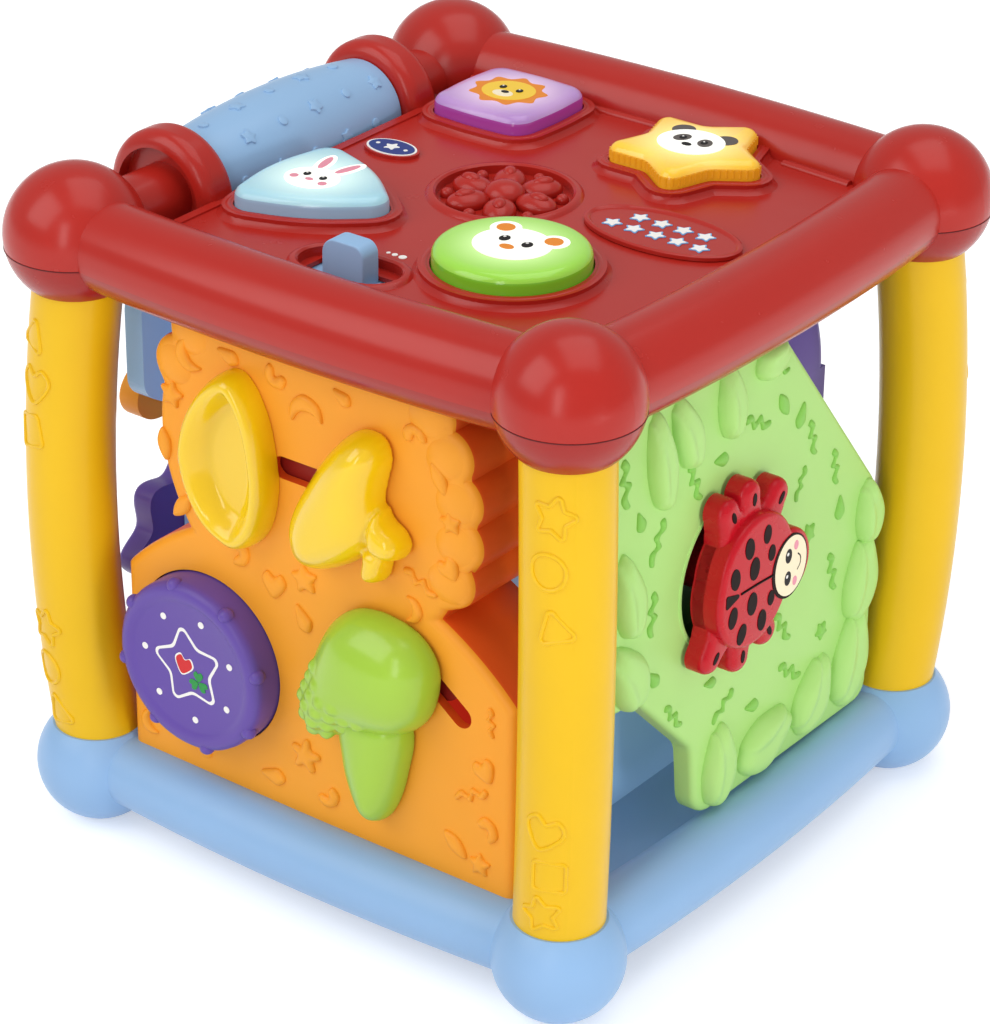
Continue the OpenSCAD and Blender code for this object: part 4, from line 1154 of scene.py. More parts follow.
class Faces:
    """Plain animal faces for the caps."""

    @staticmethod
    def eyes(gap: float, v: float, r: float) -> list[Print]:
        """Two dark eyes with a glint.

        Args:
            gap: Distance of each eye from the middle.
            v: Their height.
            r: Their half width.

        Returns:
            The printed shapes.
        """
        made = []
        for s in (-1, 1):
            made.append(Print(ellipse(r, 1.2 * r, 20, (s * gap, v)), Paint.BLACK, 3))
            made.append(Print(circle(0.3 * r, 10, (s * gap - 0.3 * r, v + 0.45 * r)), Paint.WHITE, 4))
        return made

    @classmethod
    def bear(cls) -> list[Print]:
        """Bear with round ears.

        Returns:
            The printed shapes.
        """
        art = [Print(circle(3.4, 32, (s * 6.2, 6.0)), Paint.LIT_WHITE, 0) for s in (-1, 1)]
        art += [Print(circle(2.0, 24, (s * 6.2, 6.0)), Paint.TANGERINE, 2) for s in (-1, 1)]
        art.append(Print(ellipse(8.6, 8.0, 48), Paint.LIT_WHITE, 1))
        art += cls.eyes(2.9, 1.2, 1.15)
        art.append(Print(ellipse(1.7, 1.2, 24, (0, -2.0)), Paint.TANGERINE, 2))
        return art

    @classmethod
    def lion(cls) -> list[Print]:
        """Lion with a wavy mane.

        Returns:
            The printed shapes.
        """
        mane = [((9.4 if k % 2 else 7.8) * math.cos(math.pi * k / 9),
                 (8.6 if k % 2 else 7.0) * math.sin(math.pi * k / 9)) for k in range(18)]
        art = [Print(curve(mane, 4), Paint.TANGERINE, 0), Print(ellipse(6.4, 5.8, 40), Paint.SUN, 1)]
        art += cls.eyes(2.3, 1.0, 0.8)
        art.append(Print(ellipse(2.6, 1.8, 24, (0, -2.3)), Paint.CREAM, 2))
        art.append(Print(ellipse(1.0, 0.7, 16, (0, -1.4)), Paint.BLACK, 3))
        return art

    @classmethod
    def rabbit(cls) -> list[Print]:
        """Rabbit with long ears.

        Returns:
            The printed shapes.
        """
        art = [Print(ellipse(1.9, 5.0, 28, (s * 3.1, 6.4), -s * 14), Paint.LIT_WHITE, 0) for s in (-1, 1)]
        art += [Print(ellipse(0.9, 3.4, 24, (s * 3.1, 6.6), -s * 14), Paint.PINK, 2) for s in (-1, 1)]
        art.append(Print(ellipse(6.4, 5.6, 40, (0, -1.6)), Paint.LIT_WHITE, 1))
        art += cls.eyes(2.2, -0.6, 0.8)
        art += [Print(circle(1.0, 16, (s * 3.9, -3.0)), Paint.PINK, 2) for s in (-1, 1)]
        art.append(Print(ellipse(1.0, 0.7, 16, (0, -2.6)), Paint.PINK, 2))
        return art

    @classmethod
    def panda(cls) -> list[Print]:
        """Panda with grey ears and eye patches.

        Returns:
            The printed shapes.
        """
        art = [Print(circle(2.7, 24, (s * 5.6, 5.4)), Paint.GREY, 0) for s in (-1, 1)]
        art.append(Print(ellipse(7.8, 7.0, 48), Paint.LIT_WHITE, 1))
        art += [Print(ellipse(1.7, 2.2, 24, (s * 3.0, 1.0), s * 24), Paint.GREY, 2) for s in (-1, 1)]
        art += cls.eyes(2.8, 1.0, 0.8)
        art.append(Print(ellipse(1.2, 0.8, 18, (0, -1.8)), Paint.BLACK, 3))
        return art


@dataclass
class TopDeck:
    """Red top: rims and pads round the controls, the four caps and their prints, roller and volume slider."""

    places: dict[Cap, Point] = field(default_factory=lambda: {
        Cap.ROUND: (22.5, -27.3), Cap.SQUARE: (-31.0, 42.0),
        Cap.TRIANGLE: (-32.5, -24.0), Cap.STAR: (19.2, 42.0)})
    round_r: float = 16.8
    square_half: float = 14.0
    triangle_r: float = 21.0
    star_r: float = 20.0
    star_waist: float = 0.61
    cap_low: float = -2.8
    cap_high: float = 6.0
    cap_crown: float = 0.12
    ball_z: float = 143.0
    ball_r: float = 15.5
    half: float = 65.0
    rail_bow: float = 3.5
    rail_bead_in: float = 10.6
    rail_bead_half: int = 52
    rail_bead_r: float = 1.3
    joint_drop: float = 2.6
    roller_at: Point = (-64.0, 143.0)
    roller_r: float = 13.6
    roller_end_r: float = 11.4
    roller_len: float = 60.0
    grille_at: Point = (-4.0, 5.0)
    grille_r: float = 15.0
    pad_at: Point = (36.0, 7.5)
    badge_at: Point = (-38.5, 9.0)
    pad_high: float = 0.8
    volume_at: Point = (-5.0, -46.5)
    volume_low: float = -2.8
    volume_marks_at: Point = (-3.4, -35.8)

    def outline(self, cap: Cap, grow: float = 0.0) -> Outline:
        """Outline of a cap, moved outward by a distance.

        Args:
            cap: Which cap.
            grow: Distance outward.

        Returns:
            The outline round the cap's own middle.
        """
        if cap is Cap.ROUND:
            return circle(self.round_r + grow, 96)
        if cap is Cap.SQUARE:
            base = pointed(self.square_half, 1.33, 4)
            radii = [60 + grow, 5 + grow]
        elif cap is Cap.TRIANGLE:
            base = pointed(self.triangle_r, 0.68, 3)
            radii = [5 + grow, 40 + grow]
        else:
            base = star(self.star_r, self.star_waist, 0.0)
            radii = [3 + grow, max(4.5 - grow, 0.4)]
        return rounded(grown(base, grow), radii)

    def ring(self, cap: Cap, grow: float, height: float) -> Path3:
        """A cap's outline at a height, placed on the plate."""
        return [(x, y, height) for x, y in moved(self.outline(cap, grow), self.places[cap])]

    def build_rims(self) -> None:
        """Rounded rims with a soft foot round the caps, the grille and the volume slot, and an oval pad."""
        cap_rim = [(0.4, -1.5), (0.4, 1.5), (0.7, 1.95), (1.2, 2.15), (1.8, 2.1), (2.4, 1.75),
                   (2.8, 1.1), (3.2, 0.5), (3.8, 0.12), (4.3, -0.3)]
        rims = [Bench.loft([self.ring(cap, g, h) for g, h in cap_rim], hollow=True) for cap in Cap]
        low_rim = [(0.0, -1.6), (0.0, 0.5), (0.5, 0.9), (1.2, 0.9), (1.9, 0.45), (2.6, -0.3)]
        grille = Bench.lathe([(self.grille_r + g, h) for g, h in low_rim], 80)
        rims.append(Bench.place(grille, Matrix.Translation((*self.grille_at, 0))))
        slot = [[(x, y, h) for x, y in stadium(12.0, 6.3 + g, self.volume_at)] for g, h in low_rim]
        rims.append(Bench.loft(slot, hollow=True))
        pad_rim = [(0.0, 0.2), (0.0, 1.0), (-0.5, 1.3), (-1.0, 1.25), (-1.6, 0.7)]
        pad = [[(x, y, h) for x, y in ellipse(19.2 + g, 10.2 + g, 96, self.pad_at)] for g, h in pad_rim]
        rims.append(Bench.loft(pad, hollow=True))
        piece = Bench.paint(Bench.join(rims), Paint.RED)
        hand_over(Bench.place(piece, seat(Side.TOP)), "control_rims", FRAME_BODY)

    def build_joint_lines(self) -> None:
        """Joint line of the two red mouldings round the balls."""
        z = self.ball_z - self.joint_drop
        r = math.sqrt(self.ball_r ** 2 - self.joint_drop ** 2) - 0.02
        lines = [[(x, y, z) for x, y in circle(r, 96, (sx * self.half, sy * self.half))]
                 for sx in (-1, 1) for sy in (-1, 1)]
        seam = Bench.paint(Bench.strokes(lines, 0.16, closed=True), Paint.RED_SEAM)
        hand_over(Bench.place(seam, Matrix.Scale(MM, 4)), "ball_joint_lines", FRAME_BODY)

    def build_rail_beads(self) -> None:
        """Soft beads at the foot of the rails, broken where a cap's well meets them."""
        wells = [(Vector(self.places[Cap.STAR]), self.star_r + 1.0),
                 (Vector(self.places[Cap.SQUARE]), self.square_half + 5.0)]
        beads = []
        for turn in (0, 90, 180):
            path = []
            for x in range(-self.rail_bead_half, self.rail_bead_half + 1):
                rail = self.half + bowed(self.half, self.rail_bow, x)
                place = Vector(moved([(x, self.rail_bead_in - rail)], turn=turn)[0])
                if all((place - middle).length > reach for middle, reach in wells):
                    path.append((*place, PLATE_TOP - 0.3))
                elif path:
                    beads.append(path)
                    path = []
            if path:
                beads.append(path)
        bead = Bench.paint(Bench.strokes(beads, self.rail_bead_r, sides=3), Paint.RED)
        hand_over(Bench.place(bead, Matrix.Scale(MM, 4)), "rail_beads", FRAME_BODY)

    def build_caps(self) -> None:
        """Crowned translucent caps, lit from below, on clear tinted walls; the star has a ribbed wall."""
        tints = {Cap.ROUND: Tint((148, 208, 66), (246, 255, 220), (110, 176, 40)),
                 Cap.SQUARE: Tint((170, 130, 190), (254, 234, 226), (152, 58, 142)),
                 Cap.TRIANGLE: Tint((158, 202, 216), (246, 252, 218), (138, 166, 190)),
                 Cap.STAR: Tint((244, 196, 54), (255, 246, 198), (224, 158, 30))}
        crown = [(0.0, self.cap_low), (0.0, 3.8), (-0.15, 4.5), (-0.55, 5.2), (-1.1, 5.65),
                 (-1.9, self.cap_high), (-3.5, self.cap_high + self.cap_crown)]
        for cap, tint in tints.items():
            lit = LitPlastic(f"{cap.slot}_cap", tint.crown, gloss=0.16, lamp=tint.lamp,
                             centre=(*self.places[cap], PLATE_TOP + self.cap_high), reach=17.0)
            wall = Plastic(f"{cap.slot}_wall", tint.wall, gloss=0.12, coat=0.4, through=0.22)
            piece = Bench.paint(Bench.loft([self.ring(cap, g, h) for g, h in crown], hollow=False), lit)
            Bench.paint_sides(piece, wall, 0.4)
            hand_over(Bench.place(piece, seat(Side.TOP)), f"{cap.value}_cap", cap.body,
                      (f"button_{cap.value}",))
            if cap is Cap.STAR:
                feet = self.spaced(self.ring(cap, -0.15, 0.0), 1.5)
                lines = [[(u, v, 2.5), (u, v, 4.4)] for u, v, _ in feet]
                ribs = Bench.paint(Bench.strokes(lines, 0.36), wall)
                hand_over(Bench.place(ribs, seat(Side.TOP)), "star_cap_ribs", cap.body)

    @staticmethod
    def spaced(ring: Path3, pitch: float) -> Path3:
        """Evenly spaced points of a closed ring.

        Args:
            ring: The ring's points.
            pitch: Distance between neighbours.

        Returns:
            The spaced points.
        """
        ends = [Vector(p) for p in ring + ring[:1]]
        total = sum((b - a).length for a, b in zip(ends, ends[1:]))
        step = total / round(total / pitch)
        made = []
        due = 0.0
        for a, b in zip(ends, ends[1:]):
            length = (b - a).length
            while due < length - 1e-6:
                made.append(tuple(a.lerp(b, due / length)))
                due += step
            due -= length
        return made

    def build_cap_prints(self) -> None:
        """Plain animal faces on the caps."""
        art = {Cap.ROUND: Faces.bear(), Cap.SQUARE: Faces.lion(),
               Cap.TRIANGLE: Faces.rabbit(), Cap.STAR: Faces.panda()}
        for cap, shapes in art.items():
            place = seat(Side.TOP, *self.places[cap], self.cap_high + self.cap_crown)
            printed(f"{cap.value}_cap_print", shapes, place, cap.body)

    def build_plate_prints(self) -> None:
        """Bare badge, two rows of stars on the pad, and growing dots beside the volume slider."""
        badge = [Print(ellipse(6.4, 4.1, 48), Paint.WHITE, 1), Print(ellipse(5.9, 3.6, 48), Paint.NAVY, 2),
                 Print(rounded(star(2.2, 0.5), [0.25]), Paint.WHITE, 3)]
        badge += [Print(circle(0.5, 14, (s * 3.9, 0)), Paint.WHITE, 3) for s in (-1, 1)]
        place = seat(Side.TOP, *self.badge_at, self.pad_high)
        printed("badge_print", badge, place, FRAME_BODY)
        stars = []
        for v, shift, count in ((3.1, 0.4, 4), (-2.6, 0.0, 5)):
            for k in range(count):
                at = (shift + 5.6 * (k - (count - 1) / 2), v)
                tilt = 8 * (k % 2) - 4
                stars.append(Print(rounded(moved(star(2.7, 0.52), at, tilt), [0.3], 4), Paint.SKY, 1))
                stars.append(Print(rounded(moved(star(2.2, 0.5), at, tilt), [0.25], 4), Paint.WHITE, 2))
        printed("pad_print", stars, seat(Side.TOP, *self.pad_at, self.pad_high), FRAME_BODY)
        dots = [Print(circle(r, 20, (u, 0)), Paint.WHITE, 1) for u, r in ((0, 0.45), (1.7, 0.65), (3.8, 0.9))]
        printed("volume_marks", dots, seat(Side.TOP, *self.volume_marks_at), FRAME_BODY)

    def build_grille(self) -> None:
        """Moulded flower in the speaker recess."""
        parts = [Bench.ball((4.6, 4.6, 3.0), (*self.grille_at, 0.0), 0, 28)]
        for turn in range(0, 360, 60):
            parts.append(Bench.ball((5.0, 3.7, 2.4), (*polar(8.6, turn, self.grille_at), -0.6), turn, 28))
            parts.append(Bench.ball((2.4, 1.5, 1.2), (*polar(9.2, turn, self.grille_at), 1.3), turn, 20))
            parts.append(Bench.ball((1.5, 1.5, 1.5), (*polar(12.6, turn + 30, self.grille_at), -0.9), 0, 16))
        piece = Bench.paint(Bench.join(parts), Paint.RED)
        hand_over(Bench.place(piece, seat(Side.TOP)), "speaker_flower", FRAME_BODY)

    def build_roller_marks(self) -> None:
        """Small raised stars and dots on the barrel of the roller."""
        marks = []
        for row in range(9):
            for k in range(5):
                y = -22 + 11 * k + (5.5 if row % 2 else 0) - 2.75
                r = self.roller_end_r + bowed(self.roller_len / 2, self.roller_r - self.roller_end_r, y)
                shape = rounded(star(2.3, 0.55), [0.3], 4) if (row + k) % 2 else circle(1.2, 20)
                mark = Bench.slab(shape, -0.5, 0.38, 0.2, 2)
                axle = Matrix.Translation((self.roller_at[0], y, self.roller_at[1]))
                around = Matrix.Rotation(math.radians(40 * row), 4, "Y")
                skin = Matrix.Translation((0, 0, r)) @ Matrix.Rotation(0.4 * k, 4, "Z")
                marks.append(Bench.place(mark, axle @ around @ skin))
        piece = Bench.paint(Bench.join(marks), Paint.ROLLER)
        hand_over(Bench.place(piece, Matrix.Scale(MM, 4)), "roller_marks", "roller")

    def build_volume(self) -> None:
        """Upright volume tab on a strip that closes the slot beside it."""
        shape = rounded([(-5.5, -4.0), (5.5, -4.0), (5.5, 6.4), (-5.5, 6.4)], [0.4, 0.4, 2.6, 3.6], 8)
        tab = Bench.place(Bench.slab(shape, -2.5, 2.5, 1.0, 4), Matrix.Rotation(math.radians(90), 4, "X"))
        strip = Bench.slab(rounded([(-16, -4.5), (8, -4.5), (8, 4.5), (-16, 4.5)], [0.8], 4),
                           self.volume_low - 1.4, self.volume_low)
        piece = Bench.paint(Bench.join([tab, strip]), Paint.ROLLER)
        hand_over(Bench.place(piece, seat(Side.TOP, *self.volume_at)), "volume_tab", "volume",
                  ("volume_slider",))

    def build(self) -> None:
        """Builds everything on the top."""
        self.build_rims()
        self.build_joint_lines()
        self.build_rail_beads()
        self.build_caps()
        self.build_cap_prints()
        self.build_plate_prints()
        self.build_grille()
        self.build_roller_marks()
        self.build_volume()


@dataclass
class Posts:
    """Raised outlines of plain shapes on the bowed corner posts."""

    half: float = 65.0
    radius: float = 9.8
    bow: float = 3.5
    low: float = 23.56
    high: float = 131.51
    bead: float = 0.5

    def on_post(self, sx: int, sy: int, angle: float, z: float) -> tuple[float, float, float]:
        """Point on a post's skin.

        Args:
            sx: Side of the post along x.
            sy: Side of the post along y.
            angle: Direction from the post's centre line, in degrees.
            z: Height.

        Returns:
            The point in millimetres.
        """
        out = bowed((self.high - self.low) / 2, self.bow, z - (self.low + self.high) / 2)
        x, y = (s * (self.half + out / math.sqrt(2)) for s in (sx, sy))
        return (*polar(self.radius, angle, (x, y)), z)

    def build(self) -> None:
        """Builds the raised outlines of all posts."""
        shapes = [rounded(star(5.2, 0.5), [0.6], 4), circle(3.8, 28),
                  rounded([(-4.2, -3.4), (4.2, -3.4), (0, 4.2)], [0.9], 5), heart(4.2),
                  rounded([(-3.6, -3.6), (3.6, -3.6), (3.6, 3.6), (-3.6, 3.6)], [1.0], 5)]
        heights = (122.0, 110.5, 99.0, 51.0, 40.0, 30.0)
        paths = []
        for corner, (sx, sy) in enumerate(((1, -1), (-1, -1), (-1, 1), (1, 1))):
            for k, z in enumerate(heights):
                facing = 90 * sy + sx * sy * (-12 if k % 2 else -20)
                shape = moved(shapes[(k + 2 * corner) % len(shapes)], turn=14 * (k % 3) - 14)
                ring = [(facing + math.degrees(u / self.radius), z + v) for u, v in shape]
                paths.append([self.on_post(sx, sy, angle, height) for angle, height in ring])
        piece = Bench.paint(Bench.strokes(paths, self.bead, closed=True), Paint.YELLOW)
        hand_over(Bench.place(piece, Matrix.Scale(MM, 4)), "post_reliefs", FRAME_BODY)


class Ornament(Enum):
    """Small raised ornaments, about 8 mm across."""

    STAR = "star"
    HEART = "heart"
    FLOWER = "flower"
    DROP = "drop"
    MOON = "moon"
    LEAF = "leaf"
    WORM = "worm"
    BEAN = "bean"

    @property
    def outline(self) -> Outline:
        """Points of the ornament, counter-clockwise."""
        if self is Ornament.STAR:
            return rounded(star(4.8, 0.52), [0.6, 0.9], 4)
        if self is Ornament.HEART:
            return heart(3.7)
        if self is Ornament.FLOWER:
            return [polar(3.3 + math.cos(math.radians(5 * turn)), turn) for turn in range(0, 360, 6)]
        shapes = {
            Ornament.DROP: [(0, 4.4), (-1.7, 1.2), (-2.3, -1.4), (0, -3.4), (2.3, -1.4), (1.7, 1.2)],
            Ornament.MOON: [(2.4, 4.2), (-1.6, 3.8), (-3.8, 0.0), (-1.6, -3.8),
                            (2.4, -4.2), (0.6, -2.2), (0.0, 0.0), (0.6, 2.2)],
            Ornament.LEAF: [(0, 5.0), (-2.2, 1.6), (-1.9, -2.0), (0, -4.8), (1.9, -2.0), (2.2, 1.6)],
            Ornament.WORM: [(1.0, 6.0), (-0.6, 5.0), (0.2, 3.2), (-1.8, 1.2), (0.2, -0.8), (-1.8, -2.8),
                            (-0.8, -5.6), (0.8, -5.6), (0.2, -2.8), (2.2, -0.8), (0.2, 1.2), (2.2, 3.4)],
            Ornament.BEAN: [(2.6, 2.6), (-0.4, 3.2), (-2.6, 0.8), (-2.2, -2.4),
                            (0.4, -3.2), (1.2, -1.6), (0.0, 0.2), (2.0, 1.0)],
        }
        return curve(shapes[self], 6)


def raised(spots: dict[Ornament, list[tuple[float, ...]]], high: float) -> bpy.types.Object:
    """Pillowed ornaments, standing out of a face.

    Args:
        spots: Place across and up, turn and scale of each ornament, by kind.
        high: Height over the face.

    Returns:
        The new piece.
    """
    root = 0.4
    made = []
    for kind, places in spots.items():
        for u, v, turn, scale in places:
            shape = moved(kind.outline, (u, v), turn, scale)
            piece = Bench.cushion(shape, high + root, 1.5, voxel=0.36, foot=0.5, smooth=2)
            made.append(Bench.place(piece, Matrix.Translation((0, 0, -root))))
    return Bench.join(made)


@dataclass
class FrontPanel:
    """Orange boxed panel with its fruit dish, pear, broccoli and drum."""

    lobe_at: Point = (-1.0, 106.0)
    lobe_r: float = 41.5
    scallop_r: float = 6.4
    scallop_in: float = 2.5
    scallops: tuple[int, ...] = (-20, -6, 8, 22, 36, 144, 158)
    hill_v: float = 17.0
    hill_r: float = 74.0
    lower_half: float = 53.5
    edge: float = 2.4
    tuck: float = 2.4
    drum_at: Point = (-29.95, 52.5)
    drum_r: float = 20.0
    drum_gap: float = 0.35
    drum_out: float = 7.5
    drum_dip: float = 0.9
    drum_flange: float = 1.0
    drum_flange_low: float = -4.5
    drum_flange_high: float = -2.7
    lug_reach: float = 19.3
    dish_at: Point = (-20.5, 104.5)
    slot_r: float = 2.6
    pear_at: Point = (12.15, 105.0)
    pear_slot: Point = (-1.1, 105.5)
    pear_slot_len: float = 12.9
    pear_plate: float = 2.0
    broccoli_at: Point = (17.5, 64.0)
    broccoli_slot: Point = (34.4, 66.6)
    broccoli_slot_len: float = 13.4
    broccoli_slot_turn: float = -36.87
    lift: float = 0.4

    def outline(self, inset: float = 0.0, scalloped: bool = True, count: int = 520) -> Outline:
        """Two-lobed outline, seen from the panel's waist.

        Args:
            inset: Distance in from the outer surface.
            scalloped: Whether the upper lobe has its scallops.
            count: Number of points.

        Returns:
            The outline in u and v.
        """
        eye = Vector((0.0, 75.0))
        box = (-90.0, 0.0, 90.0, PANEL_HIGH - inset)
        discs = [(Vector(self.lobe_at), self.lobe_r - inset, box)]
        for a in self.scallops if scalloped else ():
            middle = Vector(polar(self.lobe_r - self.scallop_in, a, self.lobe_at))
            discs.append((middle, self.scallop_r - inset, box))
        side = self.lower_half - inset
        hill_box = (-side, PANEL_LOW + inset, side, 200.0)
        discs.append((Vector((0.0, self.hill_v)), self.hill_r - inset, hill_box))
        corners = [math.atan2(PANEL_LOW + inset - eye.y, s * side) for s in (-1, 1)]
        angles = [-math.pi + 2 * math.pi * k / count for k in range(count)]
        return outer_edge(eye, discs, sorted(angles + corners))

    def build_body(self) -> None:
        """Boxed body with a rounded front edge, the drum hole and two slots."""
        steps = [(0.0, -BOX_DEPTH)]
        for k in range(6):
            a = math.radians(18 * k)
            steps.append((self.edge * (1 - math.cos(a)), self.edge * (math.sin(a) - 1)))
        rings = []
        for inset, w in steps:
            low = PANEL_LOW + inset + 0.01
            rings.append([(u, PANEL_LOW - self.tuck if v < low else v, w) for u, v in self.outline(inset)])
        body = Bench.apply(Bench.loft(rings, hollow=False), "TRIANGULATE")
        Bench.cut(body, Bench.slab(self.outline(WALL, scalloped=False), -BOX_DEPTH - 2, -WALL))
        holes = [circle(self.drum_r + self.drum_gap, 96, self.drum_at),
                 stadium(self.pear_slot_len, self.slot_r, self.pear_slot),
                 stadium(self.broccoli_slot_len, self.slot_r, self.broccoli_slot, self.broccoli_slot_turn)]
        for hole in holes:
            Bench.cut(body, Bench.slab(hole, -2 * WALL, 3.0))
        # The side walls get the deeper orange-red, which is painted shade
        Bench.paint_sides(Bench.paint(body, Paint.ORANGE), Paint.ORANGE_SIDE_SHADE, 0.3)
        hand_over(Bench.place(body, seat(Side.FRONT)), "orange_body", FRAME_BODY,
                  ("orange_panel",))

    def build_reliefs(self) -> None:
        """Raised ornaments moulded into the orange face, and a soft swelling on each scallop."""
        spots = {
            Ornament.MOON: [(-33, 124, 30, 0.9), (-1, 120.5, -80, 1.0), (27, 83.5, 180, 0.7),
                            (-48, 29.5, 20, 0.7)],
            Ornament.DROP: [(-21.5, 127, 70, 0.8), (9, 126.5, 60, 0.7), (-2.5, 71, 30, 0.9),
                            (-11.5, 29, 90, 0.9), (-32, 28, 60, 0.7)],
            Ornament.BEAN: [(-9, 126, 80, 0.9), (27.5, 124, -60, 0.9), (-20, 81.5, 200, 1.0),
                            (4, 29.5, 150, 0.9), (47, 38, 240, 0.9)],
            Ornament.STAR: [(-38, 113.5, -10, 0.8), (37, 107, 10, 0.7), (-2, 81, 10, 0.9),
                            (45, 28.5, 0, 0.7)],
            Ornament.LEAF: [(-40.5, 101, 8, 0.8), (34, 116, 30, 0.8), (-36, 87.5, -40, 0.8),
                            (38.5, 31, 50, 0.8)],
            Ornament.HEART: [(36.5, 96.5, 40, 0.8), (-10.5, 77, 0, 0.9), (46, 52, 30, 0.8)],
            Ornament.WORM: [(29, 90.5, 70, 0.8), (42.5, 45, -60, 0.8), (47.5, 64, 10, 0.6)],
            Ornament.FLOWER: [(-2.5, 37.5, 12, 1.0)],
        }
        parts = [raised(spots, 1.1)]
        for a in self.scallops:
            middle = polar(self.lobe_r - self.scallop_in - 0.1, a, self.lobe_at)
            parts.append(Bench.ball((6.0, 5.6, 2.1), (*middle, -1.3), a + 20, 28))
        piece = Bench.paint(Bench.join(parts), Paint.ORANGE)
        hand_over(Bench.place(piece, seat(Side.FRONT)), "orange_reliefs", FRAME_BODY)

    def build_dish(self) -> None:
        """Half fruit with a glossy hollow face."""
        shape = curve([(0.6, 20.5), (-5.2, 16.2), (-10.0, 8.7), (-12.3, -0.3), (-10.6, -8.7), (-6.4, -15.6),
                       (-0.6, -19.2), (4.8, -19.6), (9.8, -14.0), (12.0, -5.0), (11.4, 4.5), (9.2, 13.0),
                       (5.0, 19.4)])
        piece = Bench.cushion(shape, 6.8, 2.4, voxel=0.5, foot=1.8, hollow=5.0, smooth=10)
        Bench.paint(piece, Paint.FRUIT)
        hand_over(Bench.place(piece, seat(Side.FRONT, *self.dish_at)), "dish_fruit", FRAME_BODY,
                  ("fruit_dish",), SOFT_ANGLE)

    def build_pear(self) -> None:
        """Plump pear with a lobed leaf and a stem, and the plate that holds it behind its slot."""
        body = curve([(4.5, 17.4), (0.0, 15.0), (-5.2, 9.4), (-9.4, 2.8), (-12.7, -3.2), (-14.4, -8.6),
                      (-13.6, -13.8), (-10.6, -17.4), (-6.0, -17.8), (-1.0, -15.4), (3.6, -12.0),
                      (7.2, -7.5), (8.6, -2.0), (8.6, 3.0), (9.6, 7.8), (10.6, 12.6), (8.8, 16.6)])
        leaf = curve([(9.4, 1.6), (7.0, -1.2), (6.2, -5.4), (7.6, -8.8), (11.4, -9.6), (14.2, -8.8),
                      (15.6, -5.6), (14.0, -2.8), (11.0, -1.0)])
        stem = curve([(5.2, -8.0), (4.6, -11.4), (4.2, -14.4), (5.6, -16.6), (8.8, -15.8), (10.4, -12.8),
                      (10.4, -8.6)])
        parts = [Bench.cushion(body, 10.0, 8.5, voxel=0.55, foot=1.0, smooth=22),
                 Bench.cushion(leaf, 7.0, 3.4, voxel=0.45, foot=1.2, smooth=4),
                 Bench.cushion(stem, 5.8, 2.8, voxel=0.45, foot=1.2, smooth=3)]
        piece = Bench.paint(Bench.trim(Bench.melt(parts, 0.5, 3)), Paint.FRUIT)
        hand_over(Bench.place(piece, seat(Side.FRONT, *self.pear_at, self.lift)), "pear_fruit", "pear_slide",
                  ("pear",), SOFT_ANGLE)
        high = -WALL - self.lift
        plate = Bench.slab(stadium(14.4, 4.5, self.pear_slot), high - self.pear_plate, high)
        hand_over(Bench.place(Bench.paint(plate, Paint.RETAINER), seat(Side.FRONT)), "pear_plate",
                  "pear_slide", ("pear_retainer",))

    def build_broccoli(self) -> None:
        """Broccoli floret: a smooth dome with small lumps on its lower lobe, on a tapering stalk."""
        dome = curve([(4.8, 17.4), (-3.0, 16.6), (-9.0, 12.4), (-12.8, 5.9), (-14.9, -0.6), (-17.2, -6.8),
                      (-15.6, -13.2), (-12.0, -16.2), (-7.0, -15.0), (-1.0, -11.6), (6.0, -10.4),
                      (11.8, -7.6), (16.0, -2.4), (18.0, 5.0), (17.0, 10.9), (12.2, 15.6)])
        crown = Bench.cushion(dome, 12.0, 14.0, voxel=0.6, foot=1.6, smooth=24)
        crown = Bench.melt([crown, Bench.ball((8.2, 7.6, 8.8), (-9.6, -7.0, 0))], 0.6, 12)
        lumps = []
        for row in range(6):
            for k in range(7):
                u, v = -15.2 + 3.3 * k + (1.6 if row % 2 else 0.0), -13.0 + 3.1 * row
                skin = Bench.rest_on(crown, (u, v))
                if u + 1.3 * v < -7.0 and skin > 4.0:
                    lumps.append(Bench.ball((1.9, 1.9, 1.7), (u, v, skin - 1.0), 0, 16))
        crown = Bench.melt([crown, *lumps], 0.5, 4)
        stem = curve([(-8.0, -6), (-7.2, -18), (-5.6, -25), (-2.4, -31.6), (1.8, -33.6), (5.6, -29.4),
                      (8.6, -20.5), (10.0, -8), (1, -3)])
        stalk = Bench.cushion(stem, 8.0, 8.5, voxel=0.55, foot=1.2, smooth=14)
        piece = Bench.paint(Bench.trim(Bench.join([crown, stalk])), Paint.BROCCOLI)
        hand_over(Bench.place(piece, seat(Side.FRONT, *self.broccoli_at, self.lift)), "broccoli_floret",
                  "broccoli_slide", ("broccoli",), SOFT_ANGLE)

